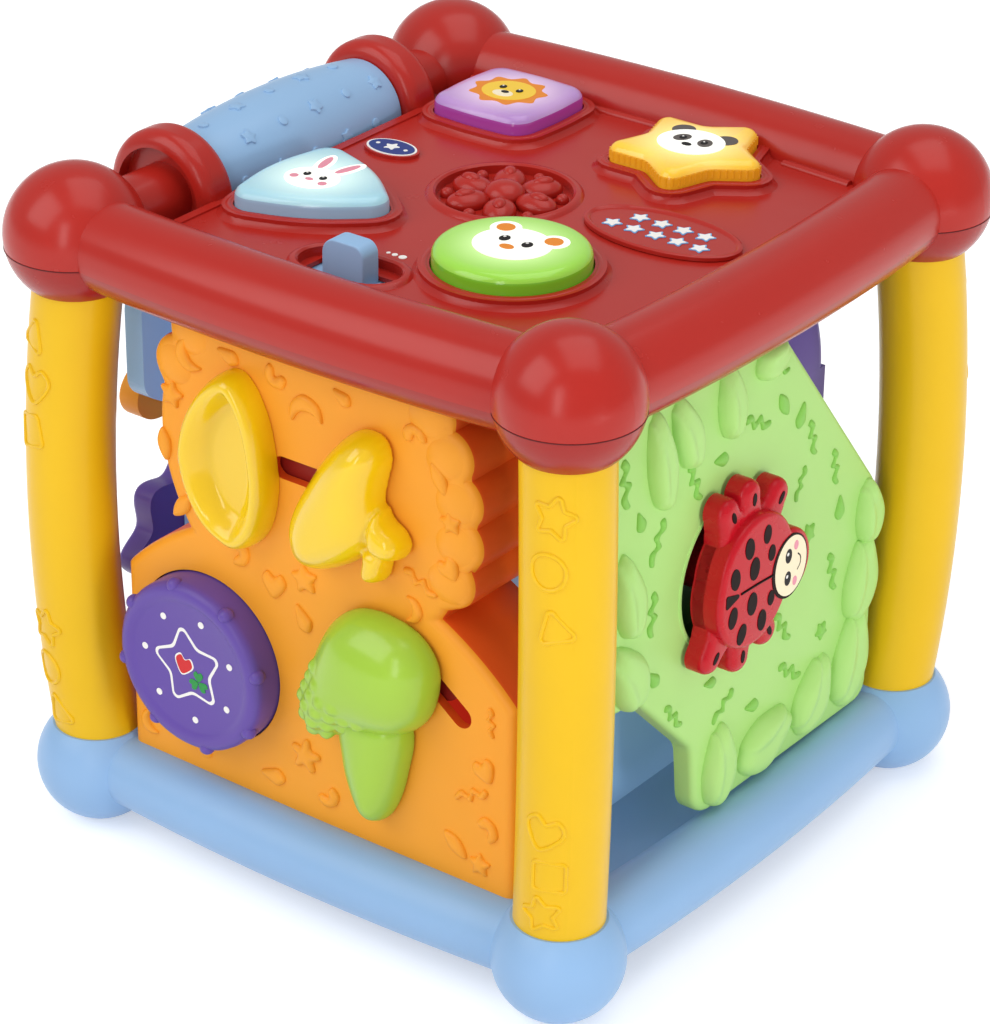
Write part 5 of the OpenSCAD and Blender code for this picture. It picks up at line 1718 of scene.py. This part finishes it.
    def build_drum(self) -> None:
        """Toy drum with a rolled rim and round lugs, and its print."""
        r, out, face = self.drum_r, self.drum_out, self.drum_out - self.drum_dip
        low, high, wide = self.drum_flange_low, self.drum_flange_high, r + self.drum_flange
        flange = [(0, low), (wide, low), (wide, high), (r, high)]
        rim = [(r, out - 2.6), (r - 0.25, out - 1.3), (r - 1.0, out - 0.4), (r - 2.0, out),
               (r - 3.2, out - 0.1), (r - 4.0, out - 0.55), (r - 4.8, face), (0, face)]
        parts = [Bench.lathe(flange + rim, 96)]
        for turn in range(12, 372, 45):
            parts.append(Bench.ball((1.7, 1.7, 1.9), (*polar(self.lug_reach, turn), out - 1.8), 0, 20))
        piece = Bench.paint(Bench.join(parts), Paint.PURPLE)
        place = seat(Side.FRONT, *self.drum_at)
        hand_over(Bench.place(piece, place), "drum_shell", "drum", ("drum",))
        art = [Print(rounded(star(10.8, 0.58, 100), [1.4, 2.6], 6), Paint.WHITE, 0),
               Print(rounded(star(9.7, 0.56, 100), [1.0, 2.6], 6), Paint.PURPLE, 1),
               Print(moved(heart(2.7), (-1.2, 0.6), -14), Paint.WHITE, 2),
               Print(moved(heart(2.3), (-1.2, 0.6), -14), Paint.CHERRY, 3)]
        for turn in (90, 210, 330):
            art.append(Print(moved(heart(1.3), polar(1.5, turn, (2.9, -2.6)), turn - 90), Paint.CLOVER, 3))
        for k in range(7):
            art.append(Print(circle(0.8, 18, polar(12.6, 51.4 * k + 20)), Paint.WHITE, 1))
        printed("drum_print", art, place @ Matrix.Translation((0, 0, face)), "drum")

    def build(self) -> None:
        """Builds everything on the front."""
        self.build_body()
        self.build_reliefs()
        self.build_dish()
        self.build_pear()
        self.build_broccoli()
        self.build_drum()


@dataclass
class SidePanel:
    """Green panel with leaves, a dished recess and the spinning ladybird."""

    thick: float = 5.0
    edge: float = 1.6
    hub: Point = (-6.7, 81.5)
    hub_bore: float = 3.06
    hub_r: float = 7.0
    hub_low: float = -10.6
    recess_r: float = 18.0
    recess_deep: float = 11.0
    cup_r: float = 20.2
    plate_low: float = 1.0
    plate_high: float = 8.6
    leg_high: float = 6.4
    body_at: Point = (-2.6, 0.5)
    wing_r: float = 13.6
    wings_apart: Point = (0.4, 1.6)
    head_at: Point = (9.8, -0.8)
    head_r: float = 8.2
    claw_reach: float = 18.4
    feet: tuple[int, ...] = (53, 88, 112, 231, 266, 298)
    corners: tuple[Point, ...] = ((-52.0, 132.8), (-52.0, 63.0), (-41.0, 64.0), (-19.0, 42.0), (-17.0, 23.0),
                                  (52.5, 23.0), (52.5, 78.0), (8.0, 132.8))
    radii: tuple[float, ...] = (3.0, 6.0, 5.0, 6.0, 7.0, 5.0, 12.0, 2.0)
    bosses: tuple[Point, ...] = ((-36.0, 115.0), (33.0, 89.0), (28.0, 35.0))
    boss_r: float = 4.0
    boss_bore: float = 1.35
    boss_bore_deep: float = 11.0
    leaves: tuple[tuple[float, ...], ...] = (
        (48, 73, 17, 10, 4), (46, 57, 22, 13, -10), (43.5, 37.5, 25, 14, -14), (28, 34.5, 20, 14, -30),
        (9, 31.5, 21, 14, -75), (-9, 34, 21, 12, -4), (-44.5, 72, 19, 12, 28), (-45, 91, 22, 10, 12),
        (-35, 118, 25, 9, 10), (-26, 121, 20, 9, 20), (-10, 122, 19, 9, 8), (5, 126, 12, 9, -80))

    def build_panel(self) -> None:
        """Panel with a rounded edge, its recess with a flared lip, and the bosses behind it."""
        shape = rounded(list(self.corners), list(self.radii))
        body = Bench.slab(shape, -self.thick, 0.0, self.edge, 4, clamp=False)
        r, low = self.recess_r, -self.recess_deep
        Bench.cut(body, Bench.slab(circle(r + 1.0, 96, self.hub), -self.thick - 1, 1.0))
        profile = [(0, low - WALL), (self.cup_r, low - WALL), (self.cup_r, -1.2), (r + 1.4, 0.25),
                   (r + 0.7, 0.2), (r + 0.15, -0.3), (r, -1.1), (r, low + 2.0), (r - 0.6, low + 0.6),
                   (r - 2.0, low), (0, low)]
        cup = Bench.place(Bench.lathe(profile, 96), Matrix.Translation((*self.hub, 0)))
        Bench.paint(cup, Paint.GREEN)
        # Faces inside the recess get the dark green, which is painted shade
        cup.data.materials.append(Paint.GREEN_RECESS_SHADE.material())
        for polygon in cup.data.polygons:
            out = (polygon.center.to_2d() - Vector(self.hub)).length
            polygon.material_index = int(out < r + 0.05)
        bosses = []
        for at in self.bosses:
            boss = Bench.slab(circle(self.boss_r, 32, at), -BOX_DEPTH, -self.thick + 0.5)
            bore = circle(self.boss_bore, 20, at)
            tool = Bench.slab(bore, -BOX_DEPTH - 1, -BOX_DEPTH + self.boss_bore_deep)
            bosses.append(Bench.cut(boss, tool))
        hand_over(Bench.place(cup, seat(Side.RIGHT)), "recess_cup", FRAME_BODY)
        piece = Bench.paint(Bench.join([body, *bosses]), Paint.GREEN)
        hand_over(Bench.place(piece, seat(Side.RIGHT)), "green_body", FRAME_BODY,
                  ("green_panel",))

    def build_leaves(self) -> None:
        """Plump leaves, each folded along its middle."""
        parts = []
        for u, v, length, width, turn in self.leaves:
            half, wide = length / 2, width / 2
            shape = curve([(0, half), (-0.62 * wide, 0.55 * half), (-wide, -0.1 * half),
                           (-0.7 * wide, -0.7 * half), (0, -half), (0.7 * wide, -0.7 * half),
                           (wide, -0.1 * half), (0.62 * wide, 0.55 * half)])
            fold = [(0.5 * (x - wide), 0.86 * y) for x, y in shape]
            layers = []
            for line, height in ((shape, 4.0), (fold, 5.0)):
                line = [p for p in moved(line, (u, v), turn) if p[1] < PANEL_HIGH - 0.4]
                layers.append(Bench.cushion(line, height, 0.3 * width, voxel=0.6, foot=1.2, smooth=4))
            parts.append(Bench.place(Bench.melt(layers, 0.6, 5), Matrix.Translation((0, 0, -1.0))))
        piece = Bench.paint(Bench.join(parts), Paint.GREEN)
        hand_over(Bench.place(piece, seat(Side.RIGHT)), "leaves", FRAME_BODY,
                  angle=SOFT_ANGLE)

    def build_reliefs(self) -> None:
        """Raised worms, seeds and stars in the open parts of the face."""
        spots = {
            Ornament.WORM: [(-47, 117, 12, 1.0), (-35, 99, -20, 0.9), (-22, 107.5, 30, 0.9),
                            (1, 112.5, 70, 0.9), (9, 121.5, 80, 0.6), (23, 100.5, 20, 0.8),
                            (33, 89.5, 15, 0.8), (34, 63, 20, 0.9), (18.5, 44.5, 60, 0.9),
                            (-8, 48, -50, 0.8), (-36, 82.5, 0, 0.9), (-27, 54, 45, 0.8), (19, 91, -20, 0.7),
                            (14.5, 57.5, 40, 0.9)],
            Ornament.DROP: [(-41, 106, 20, 0.7), (-12, 109, 80, 0.7), (18, 107.5, -20, 0.8),
                            (36, 78, 0, 0.8), (4, 42.5, 80, 0.7), (-34.5, 66.5, 40, 0.7),
                            (-13, 56, 80, 0.6)],
            Ornament.LEAF: [(11, 113, 30, 0.7)],
            Ornament.STAR: [(31, 49.5, 30, 0.6), (23.5, 77, 20, 0.7)],
        }
        # The reliefs get a deeper green than the panel: painted shade
        piece = Bench.paint(raised(spots, 0.8), Paint.GREEN_RELIEF_SHADE)
        hand_over(Bench.place(piece, seat(Side.RIGHT)), "green_reliefs", FRAME_BODY)

    def build_ladybird(self) -> None:
        """Ladybird: a thick plate on a lower one with round feet, and its hub."""
        hub = Bench.lathe([(self.hub_bore, 2.0), (self.hub_bore, self.hub_low), (self.hub_r, self.hub_low),
                           (self.hub_r, 2.0)], 48)
        feet, wings = self.ladybird_outline(True), self.ladybird_outline(False)
        legs = Bench.slab(feet, self.plate_low, self.leg_high, 2.2, 5, clamp=False)
        plate = Bench.slab(wings, self.plate_low + 0.5, self.plate_high, 1.4, 5, clamp=False)
        for level in (legs, plate):
            Bench.cut(level, Bench.slab(circle(self.hub_bore, 48), self.plate_low - 1, 5.5))
        shell = Bench.paint(Bench.join([hub, legs, plate]), Paint.LADYBIRD)
        hand_over(Bench.place(shell, seat(Side.RIGHT, *self.hub)), "ladybird_shell", "ladybird",
                  ("ladybird",), angle=50.0)

    def build_ladybird_print(self) -> None:
        """The ladybird's plain spots, face and claws, its smile and the line between its wings."""
        spots = ((-6.4, 9.8, 1.7, 2.6, 10), (0.2, 10.6, 1.4, 2.2, 0), (-11.4, 4.6, 1.7, 2.6, 10),
                 (-4.2, 4.2, 1.8, 2.7, 0), (2.2, 5.4, 1.3, 1.9, 0), (-11.8, -4.4, 1.6, 2.5, -10),
                 (-4.6, -4.0, 1.8, 2.7, 0), (-8.2, -9.8, 1.6, 2.4, -20), (-0.6, -9.6, 1.6, 2.5, 0),
                 (2.6, -5.6, 1.2, 1.8, 0))
        art = [Print(ellipse(rx, ry, 28, (x, y), turn), Paint.SPOT, 1) for x, y, rx, ry, turn in spots]
        u, v = self.head_at
        art += [Print(ellipse(6.7, 7.5, 48, (u - 0.4, v)), Paint.SPOT, 1),
                Print(ellipse(6.0, 7.0, 48, (u - 0.1, v)), Paint.CREAM, 2)]
        for s in (-1, 1):
            art += [Print(ellipse(1.2, 1.7, 24, (u - 1.2, v + s * 2.7)), Paint.BLACK, 3),
                    Print(circle(0.4, 12, (u - 1.6, v + 0.6 + s * 2.7)), Paint.WHITE, 4),
                    Print(ellipse(0.8, 1.1, 20, (u + 1.6, v + s * 4.3)), Paint.PINK, 3)]
        art.append(Print(rounded([(-14.6, 1.9), (-14.6, -1.5), (-8.4, 0.2)], [0.5], 4), Paint.SPOT, 1))
        claws = [Print(ellipse(1.5, 0.7, 20, polar(self.claw_reach, a, self.body_at), a), Paint.SPOT, 1)
                 for a in self.feet]
        place = seat(Side.RIGHT, *self.hub)
        for name, shapes, high in (("print", art, self.plate_high), ("claws", claws, self.leg_high)):
            face = place @ Matrix.Translation((0, 0, high))
            printed(f"ladybird_{name}", shapes, face, "ladybird")
        smile = [(u + 2.4, v - 2.0), (u + 3.5, v - 0.8), (u + 3.5, v + 0.8), (u + 2.4, v + 2.0)]
        wings = [(-9.0, 0.2), (-3.0, 0.0), (3.2, -0.4)]
        high = self.plate_high - 0.02
        paths = [[(x, y, high) for x, y in curve(line, 6, closed=False)] for line in (smile, wings)]
        marks = Bench.paint(Bench.strokes(paths, 0.3), Paint.SPOT)
        hand_over(Bench.place(marks, place), "ladybird_lines", "ladybird", angle=SOFT_ANGLE)

    def ladybird_outline(self, legs: bool) -> Outline:
        """Outline of the ladybird round its pin.

        Args:
            legs: Whether it takes in the six feet.

        Returns:
            The outline of the wing case and head, with the feet if asked.
        """
        box = (-99.0, -99.0, 99.0, 99.0)
        middle, apart = Vector(self.body_at), Vector(self.wings_apart)
        discs = [(middle + apart, self.wing_r, box), (middle - apart, self.wing_r, box),
                 (Vector(self.head_at), self.head_r, box)]
        for a in self.feet if legs else ():
            for reach, radius in ((18.9, 3.6), (16.2, 4.0), (13.0, 5.0)):
                discs.append((Vector(polar(reach, a, self.body_at)), radius, box))
        return outer_edge(Vector((0.0, 0.0)), discs, [2 * math.pi * k / 480 for k in range(480)])

    def build(self) -> None:
        """Builds everything on the right side."""
        self.build_panel()
        self.build_leaves()
        self.build_reliefs()
        self.build_ladybird()
        self.build_ladybird_print()


@dataclass
class WheelPanel:
    """Pale-blue panel with two meshing wheels, a three-winged spinner and a cloud."""

    lift: float = 0.4
    wheel_v: float = 55.0
    wheel_u: tuple[float, float] = (27.0, -14.0)
    wheel_r: float = 20.0
    wave: float = 2.3
    lobes: int = 8
    disc_high: float = 6.0
    hub_r: float = 11.0
    hub_high: float = 8.5
    pin_bore: float = 3.05
    spinner_at: Point = (27.0, 98.5)
    spinner_r: float = 13.4
    spinner_wave: float = 6.6
    spinner_turn: float = -13.0
    spinner_hub_r: float = 8.0
    spinner_hub_high: float = 9.0

    @staticmethod
    def lobed(radius: float, wave: float, lobes: int, phase: float) -> Outline:
        """Waved round outline.

        Args:
            radius: Mean radius.
            wave: Height of the waves.
            lobes: Number of lobes.
            phase: Direction of the first lobe, in degrees.

        Returns:
            The outline.
        """
        turns = [2.25 * k for k in range(160)]
        return [polar(radius + wave * math.cos(math.radians(lobes * (turn - phase))), turn) for turn in turns]

    def wheel(self, outline: Outline, hub_r: float, hub_high: float, finish: Plastic) -> bpy.types.Object:
        """Flat turning piece with a rounded rim and a domed hub.

        Args:
            outline: Its outline.
            hub_r: Radius of the hub.
            hub_high: Height of the hub.
            finish: Its finish.

        Returns:
            The new piece, standing on w = 0.
        """
        disc = Bench.slab(outline, 0.0, self.disc_high, 1.6, 4)
        hub = Bench.lathe([(0, 0.5), (hub_r, 0.5), (hub_r, hub_high - 1.2), (hub_r - 0.5, hub_high - 0.4),
                           (hub_r - 1.6, hub_high), (0, hub_high + 0.3)], 64)
        Bench.cut(disc, hub, "UNION")
        Bench.cut(disc, Bench.slab(circle(self.pin_bore, 40), -1.0, hub_high - 2.0))
        return Bench.paint(disc, finish)

    def build_face(self) -> None:
        """Border bead and a raised cloud on the panel."""
        shape = rounded([(-50, 127.4), (-50, 100), (-33, 90), (-33, 23), (33, 23), (33, 90), (50, 100),
                         (50, 127.4)], [8, 6, 10, 5, 5, 10, 6, 8])
        inner = moved(shape, (0, 11.6), scale=0.86)
        rim = Bench.strokes([[(u, v, -0.25) for u, v in inner]], 0.5, closed=True)
        hand_over(Bench.place(Bench.paint(rim, Paint.BLUE), seat(Side.LEFT)), "blue_border", FRAME_BODY)
        puffs = [Bench.ball((r, r, 3.0), (u, v, 0.0), 0, 28)
                 for u, v, r in ((-36, 107, 8), (-26, 111, 10), (-15, 108, 8), (-25, 104, 9))]
        cloud = Bench.paint(Bench.join(puffs), Paint.BLUE)
        hand_over(Bench.place(cloud, seat(Side.LEFT)), "cloud", FRAME_BODY,
                  angle=SOFT_ANGLE)

    def build_wheels(self) -> None:
        """Two wheels whose lobes mesh, with their prints."""
        wheels = (("purple_wheel", self.wheel_u[0], 0.0, Paint.PURPLE, "purple_plastic"),
                  ("yellow_wheel", self.wheel_u[1], 22.5, Paint.FRUIT, "fruit_yellow"))
        for name, u, phase, finish, slot in wheels:
            outline = self.lobed(self.wheel_r, self.wave, self.lobes, phase)
            made = self.wheel(outline, self.hub_r, self.hub_high, finish)
            place = seat(Side.LEFT, u, self.wheel_v, self.lift)
            hand_over(Bench.place(made, place), f"{name}_disc", name, (name,))
            badge = [Print(rounded(star(6.4, 0.55, phase + 90), [0.9], 5), Paint.WHITE, 1)]
            dots = [Print(circle(1.5, 20, polar(16.2, phase + 360 * k / self.lobes)), Paint.WHITE, 1)
                    for k in range(self.lobes)]
            on_hub = place @ Matrix.Translation((0, 0, self.hub_high + INK_ROOT))
            printed(f"{name}_print", badge, on_hub, name)
            printed(f"{name}_dots", dots, place @ Matrix.Translation((0, 0, self.disc_high)), name)

    def build_spinner(self) -> None:
        """Three-winged spinner with a dot on each wing."""
        outline = self.lobed(self.spinner_r, self.spinner_wave, 3, self.spinner_turn)
        made = self.wheel(outline, self.spinner_hub_r, self.spinner_hub_high, Paint.ORANGE)
        place = seat(Side.LEFT, *self.spinner_at, self.lift)
        hand_over(Bench.place(made, place), "spinner_wings", "spinner", ("spinner",))
        dots = [Print(circle(2.4, 24, polar(14.0, self.spinner_turn + 120 * k)), Paint.SUN, 1)
                for k in range(3)]
        on_disc = place @ Matrix.Translation((0, 0, self.disc_high))
        printed("spinner_dots", dots, on_disc, "spinner")

    def build(self) -> None:
        """Builds everything on the left side."""
        self.build_face()
        self.build_wheels()
        self.build_spinner()


@dataclass
class BackPanel:
    """Purple arched panel with a ribbed dial."""

    half: float = 42.0
    arch_v: float = 95.0
    foot_v: float = 30.0
    dial_at: Point = (0.0, 85.0)
    dial_r: float = 20.6
    dial_wave: float = 1.4
    dial_ribs: int = 10
    dial_hub_r: float = 13.6
    dial_hub_high: float = 9.0
    marks_reach: float = 27.0
    lift: float = 0.4

    def build_face(self) -> None:
        """Raised line that follows the arch."""
        arch = [polar(self.half, 180 - 6 * k, (0.0, self.arch_v)) for k in range(31)]
        edge = [(-self.half, self.foot_v), *arch, (self.half, self.foot_v)]
        inner = [(0.86 * u, min(0.86 * v + 9, PANEL_HIGH - 4), -0.15) for u, v in edge]
        line = Bench.paint(Bench.strokes([inner], 0.7), Paint.PURPLE)
        hand_over(Bench.place(line, seat(Side.BACK)), "arch_line", FRAME_BODY)

    def build_dial(self) -> None:
        """Ribbed dial with a star, and the dots round it."""
        outline = WheelPanel.lobed(self.dial_r, self.dial_wave, self.dial_ribs, 0.0)
        made = WheelPanel().wheel(outline, self.dial_hub_r, self.dial_hub_high, Paint.FRUIT)
        place = seat(Side.BACK, *self.dial_at, self.lift)
        hand_over(Bench.place(made, place), "dial_disc", "dial", ("dial",))
        art = [Print(rounded(star(8.0, 0.52), [0.9], 5), Paint.TANGERINE, 1)]
        on_hub = place @ Matrix.Translation((0, 0, self.dial_hub_high + INK_ROOT))
        printed("dial_print", art, on_hub, "dial")
        dots = [Print(circle(1.1, 18, polar(self.marks_reach, turn)), Paint.SUN, 1)
                for turn in range(0, 360, 36)]
        printed("dial_marks", dots, seat(Side.BACK, *self.dial_at), FRAME_BODY)

    def build(self) -> None:
        """Builds everything on the back."""
        self.build_face()
        self.build_dial()


class Solids:
    """Finishes of the solids that stay in sight as they are."""

    finishes: dict[str, Plastic] = {
        "top_cover": Paint.RED, "top_underframe": Paint.RED_UNDER_SHADE, "roller": Paint.ROLLER,
        "roller_axle": Paint.STEEL, "dome_round": Paint.RUBBER, "dome_square": Paint.RUBBER,
        "dome_triangle": Paint.RUBBER, "dome_star": Paint.RUBBER, "circuit_board": Paint.BOARD,
        "light_emitters": Paint.WHITE,
        "loudspeaker": Paint.DARK, "top_screws": Paint.STEEL, "post_front_right": Paint.YELLOW,
        "post_front_left": Paint.YELLOW, "post_back_right": Paint.YELLOW, "post_back_left": Paint.YELLOW,
        "base_tray": Paint.BLUE, "base_cover": Paint.BLUE, "battery_door": Paint.BLUE,
        "battery_door_screw": Paint.STEEL, "battery_cells": Paint.CELL, "battery_contacts": Paint.STEEL,
        "base_screws": Paint.STEEL, "core_column": Paint.BLUE_PAINTED_GLOW, "core_screws": Paint.STEEL,
        "lead_wires": Paint.WIRE, "orange_back": Paint.ORANGE_INSIDE_SHADE_GLOW, "pear_retainer": Paint.RETAINER,
        "broccoli_retainer": Paint.RETAINER, "drum_switch": Paint.DARK, "ladybird_pin": Paint.STEEL,
        "blue_panel": Paint.BLUE_PAINTED_GLOW, "wheel_pins": Paint.STEEL, "spinner_pin": Paint.STEEL,
        "purple_panel": Paint.PURPLE, "dial_pin": Paint.STEEL, "panel_screws": Paint.STEEL}

    @classmethod
    def dress(cls, frame: dict) -> None:
        """Gives each solid its finish and smooth shading that keeps its sharp edges.

        Args:
            frame: The loaded frame.
        """
        for name, finish in cls.finishes.items():
            solid = frame["nodes"][name]
            Bench.paint(solid, finish)
            for polygon in solid.data.polygons:
                polygon.use_smooth = True


# Studio


@dataclass
class Studio:
    """Camera, pale floor and soft lights."""

    aim_z: float = 70.6
    distance: float = 824.5
    azimuth: float = 36.99
    elevation: float = 27.477
    roll: float = 0.603
    focal_px: float = 3677.6
    middle_px: Point = (502.1, 512.1)

    def camera(self) -> None:
        """Camera that sees the cube as the photograph does."""
        a, e, r = (math.radians(v) for v in (self.azimuth, self.elevation, self.roll))
        back = Vector((math.sin(a) * math.cos(e), -math.cos(a) * math.cos(e), math.sin(e)))
        right = Vector((0, 0, 1)).cross(back).normalized()
        up = back.cross(right)
        right, up = right * math.cos(r) + up * math.sin(r), up * math.cos(r) - right * math.sin(r)
        data = bpy.data.cameras.new("camera")
        data.sensor_width = 36.0
        data.lens = self.focal_px * data.sensor_width / IMAGE_HEIGHT
        data.shift_x = (IMAGE_WIDTH / 2 - self.middle_px[0]) / IMAGE_HEIGHT
        data.shift_y = (self.middle_px[1] - IMAGE_HEIGHT / 2) / IMAGE_HEIGHT
        data.clip_start = 0.01
        camera = bpy.data.objects.new("camera", data)
        bpy.context.scene.collection.objects.link(camera)
        turn = Matrix((right, up, back)).transposed().to_4x4()
        place = Matrix.Translation(Vector((0, 0, self.aim_z)) * MM + back * self.distance * MM)
        camera.matrix_world = place @ turn
        bpy.context.scene.camera = camera

    def lamp(self, name: str, at: tuple[float, float, float], size: Point, power: float,
             glints: bool = True) -> None:
        """Soft box aimed at the cube.

        Args:
            name: Its name.
            at: Its place in metres.
            size: Its width and height in metres.
            power: Its power in watts.
            glints: Whether it shows in glossy surfaces.
        """
        data = bpy.data.lights.new(name, "AREA")
        data.shape = "RECTANGLE"
        data.size, data.size_y = size
        data.energy = power
        lamp = bpy.data.objects.new(name, data)
        bpy.context.scene.collection.objects.link(lamp)
        lamp.location = at
        lamp.visible_glossy = glints
        lamp.rotation_euler = (Vector((0, 0, 0.08)) - Vector(at)).to_track_quat("-Z", "Y").to_euler()

    def floor(self) -> None:
        """Pale floor that reads white to the camera, in reflections and through clear pieces."""
        Bench.clear()
        bpy.ops.mesh.primitive_plane_add(size=8.0)
        floor = bpy.context.object
        floor.name = "floor"
        made = bpy.data.materials.new("floor_white")
        made.use_nodes = True
        tree = made.node_tree
        shader = tree.nodes["Principled BSDF"]
        shader.inputs["Base Color"].default_value = (0.9, 0.9, 0.9, 1)
        shader.inputs["Roughness"].default_value = 0.9
        shader.inputs["Specular IOR Level"].default_value = 0.1
        path = tree.nodes.new("ShaderNodeLightPath")
        direct = tree.nodes.new("ShaderNodeMath")
        seen = tree.nodes.new("ShaderNodeMath")
        for node in (direct, seen):
            node.operation = "MAXIMUM"
        tree.links.new(path.outputs["Is Camera Ray"], direct.inputs[0])
        tree.links.new(path.outputs["Is Glossy Ray"], direct.inputs[1])
        tree.links.new(direct.outputs[0], seen.inputs[0])
        tree.links.new(path.outputs["Is Transmission Ray"], seen.inputs[1])
        tree.links.new(seen.outputs[0], shader.inputs["Emission Strength"])
        shader.inputs["Emission Color"].default_value = (0.4, 0.4, 0.4, 1)
        floor.data.materials.append(made)

    def build(self) -> None:
        """Sets up the picture."""
        scene = bpy.context.scene
        scene.view_settings.view_transform = "Standard"
        world = bpy.data.worlds.new("studio")
        world.use_nodes = True
        world.node_tree.nodes["Background"].inputs["Color"].default_value = (1, 1, 1, 1)
        world.node_tree.nodes["Background"].inputs["Strength"].default_value = 0.5
        scene.world = world
        self.camera()
        self.floor()
        self.lamp("key", (-0.5, -0.9, 1.0), (1.0, 1.0), 7.0)
        self.lamp("top", (0.15, 0.2, 1.25), (1.2, 0.9), 4.6)
        self.lamp("front", (0.45, -1.2, 0.55), (0.25, 0.9), 2.6)
        self.lamp("right", (1.15, -0.25, 0.14), (0.35, 0.4), 5.0, glints=False)


def main() -> None:
    """Dresses the cube and sets up the picture."""
    logging.basicConfig(level=logging.INFO)
    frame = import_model()
    Solids.dress(frame)
    for part in (TopDeck(), Posts(), FrontPanel(), SidePanel(), WheelPanel(), BackPanel()):
        LOG.info("building %s", type(part).__name__)
        part.build()
    Studio().build()


if __name__ == "__main__":
    main()
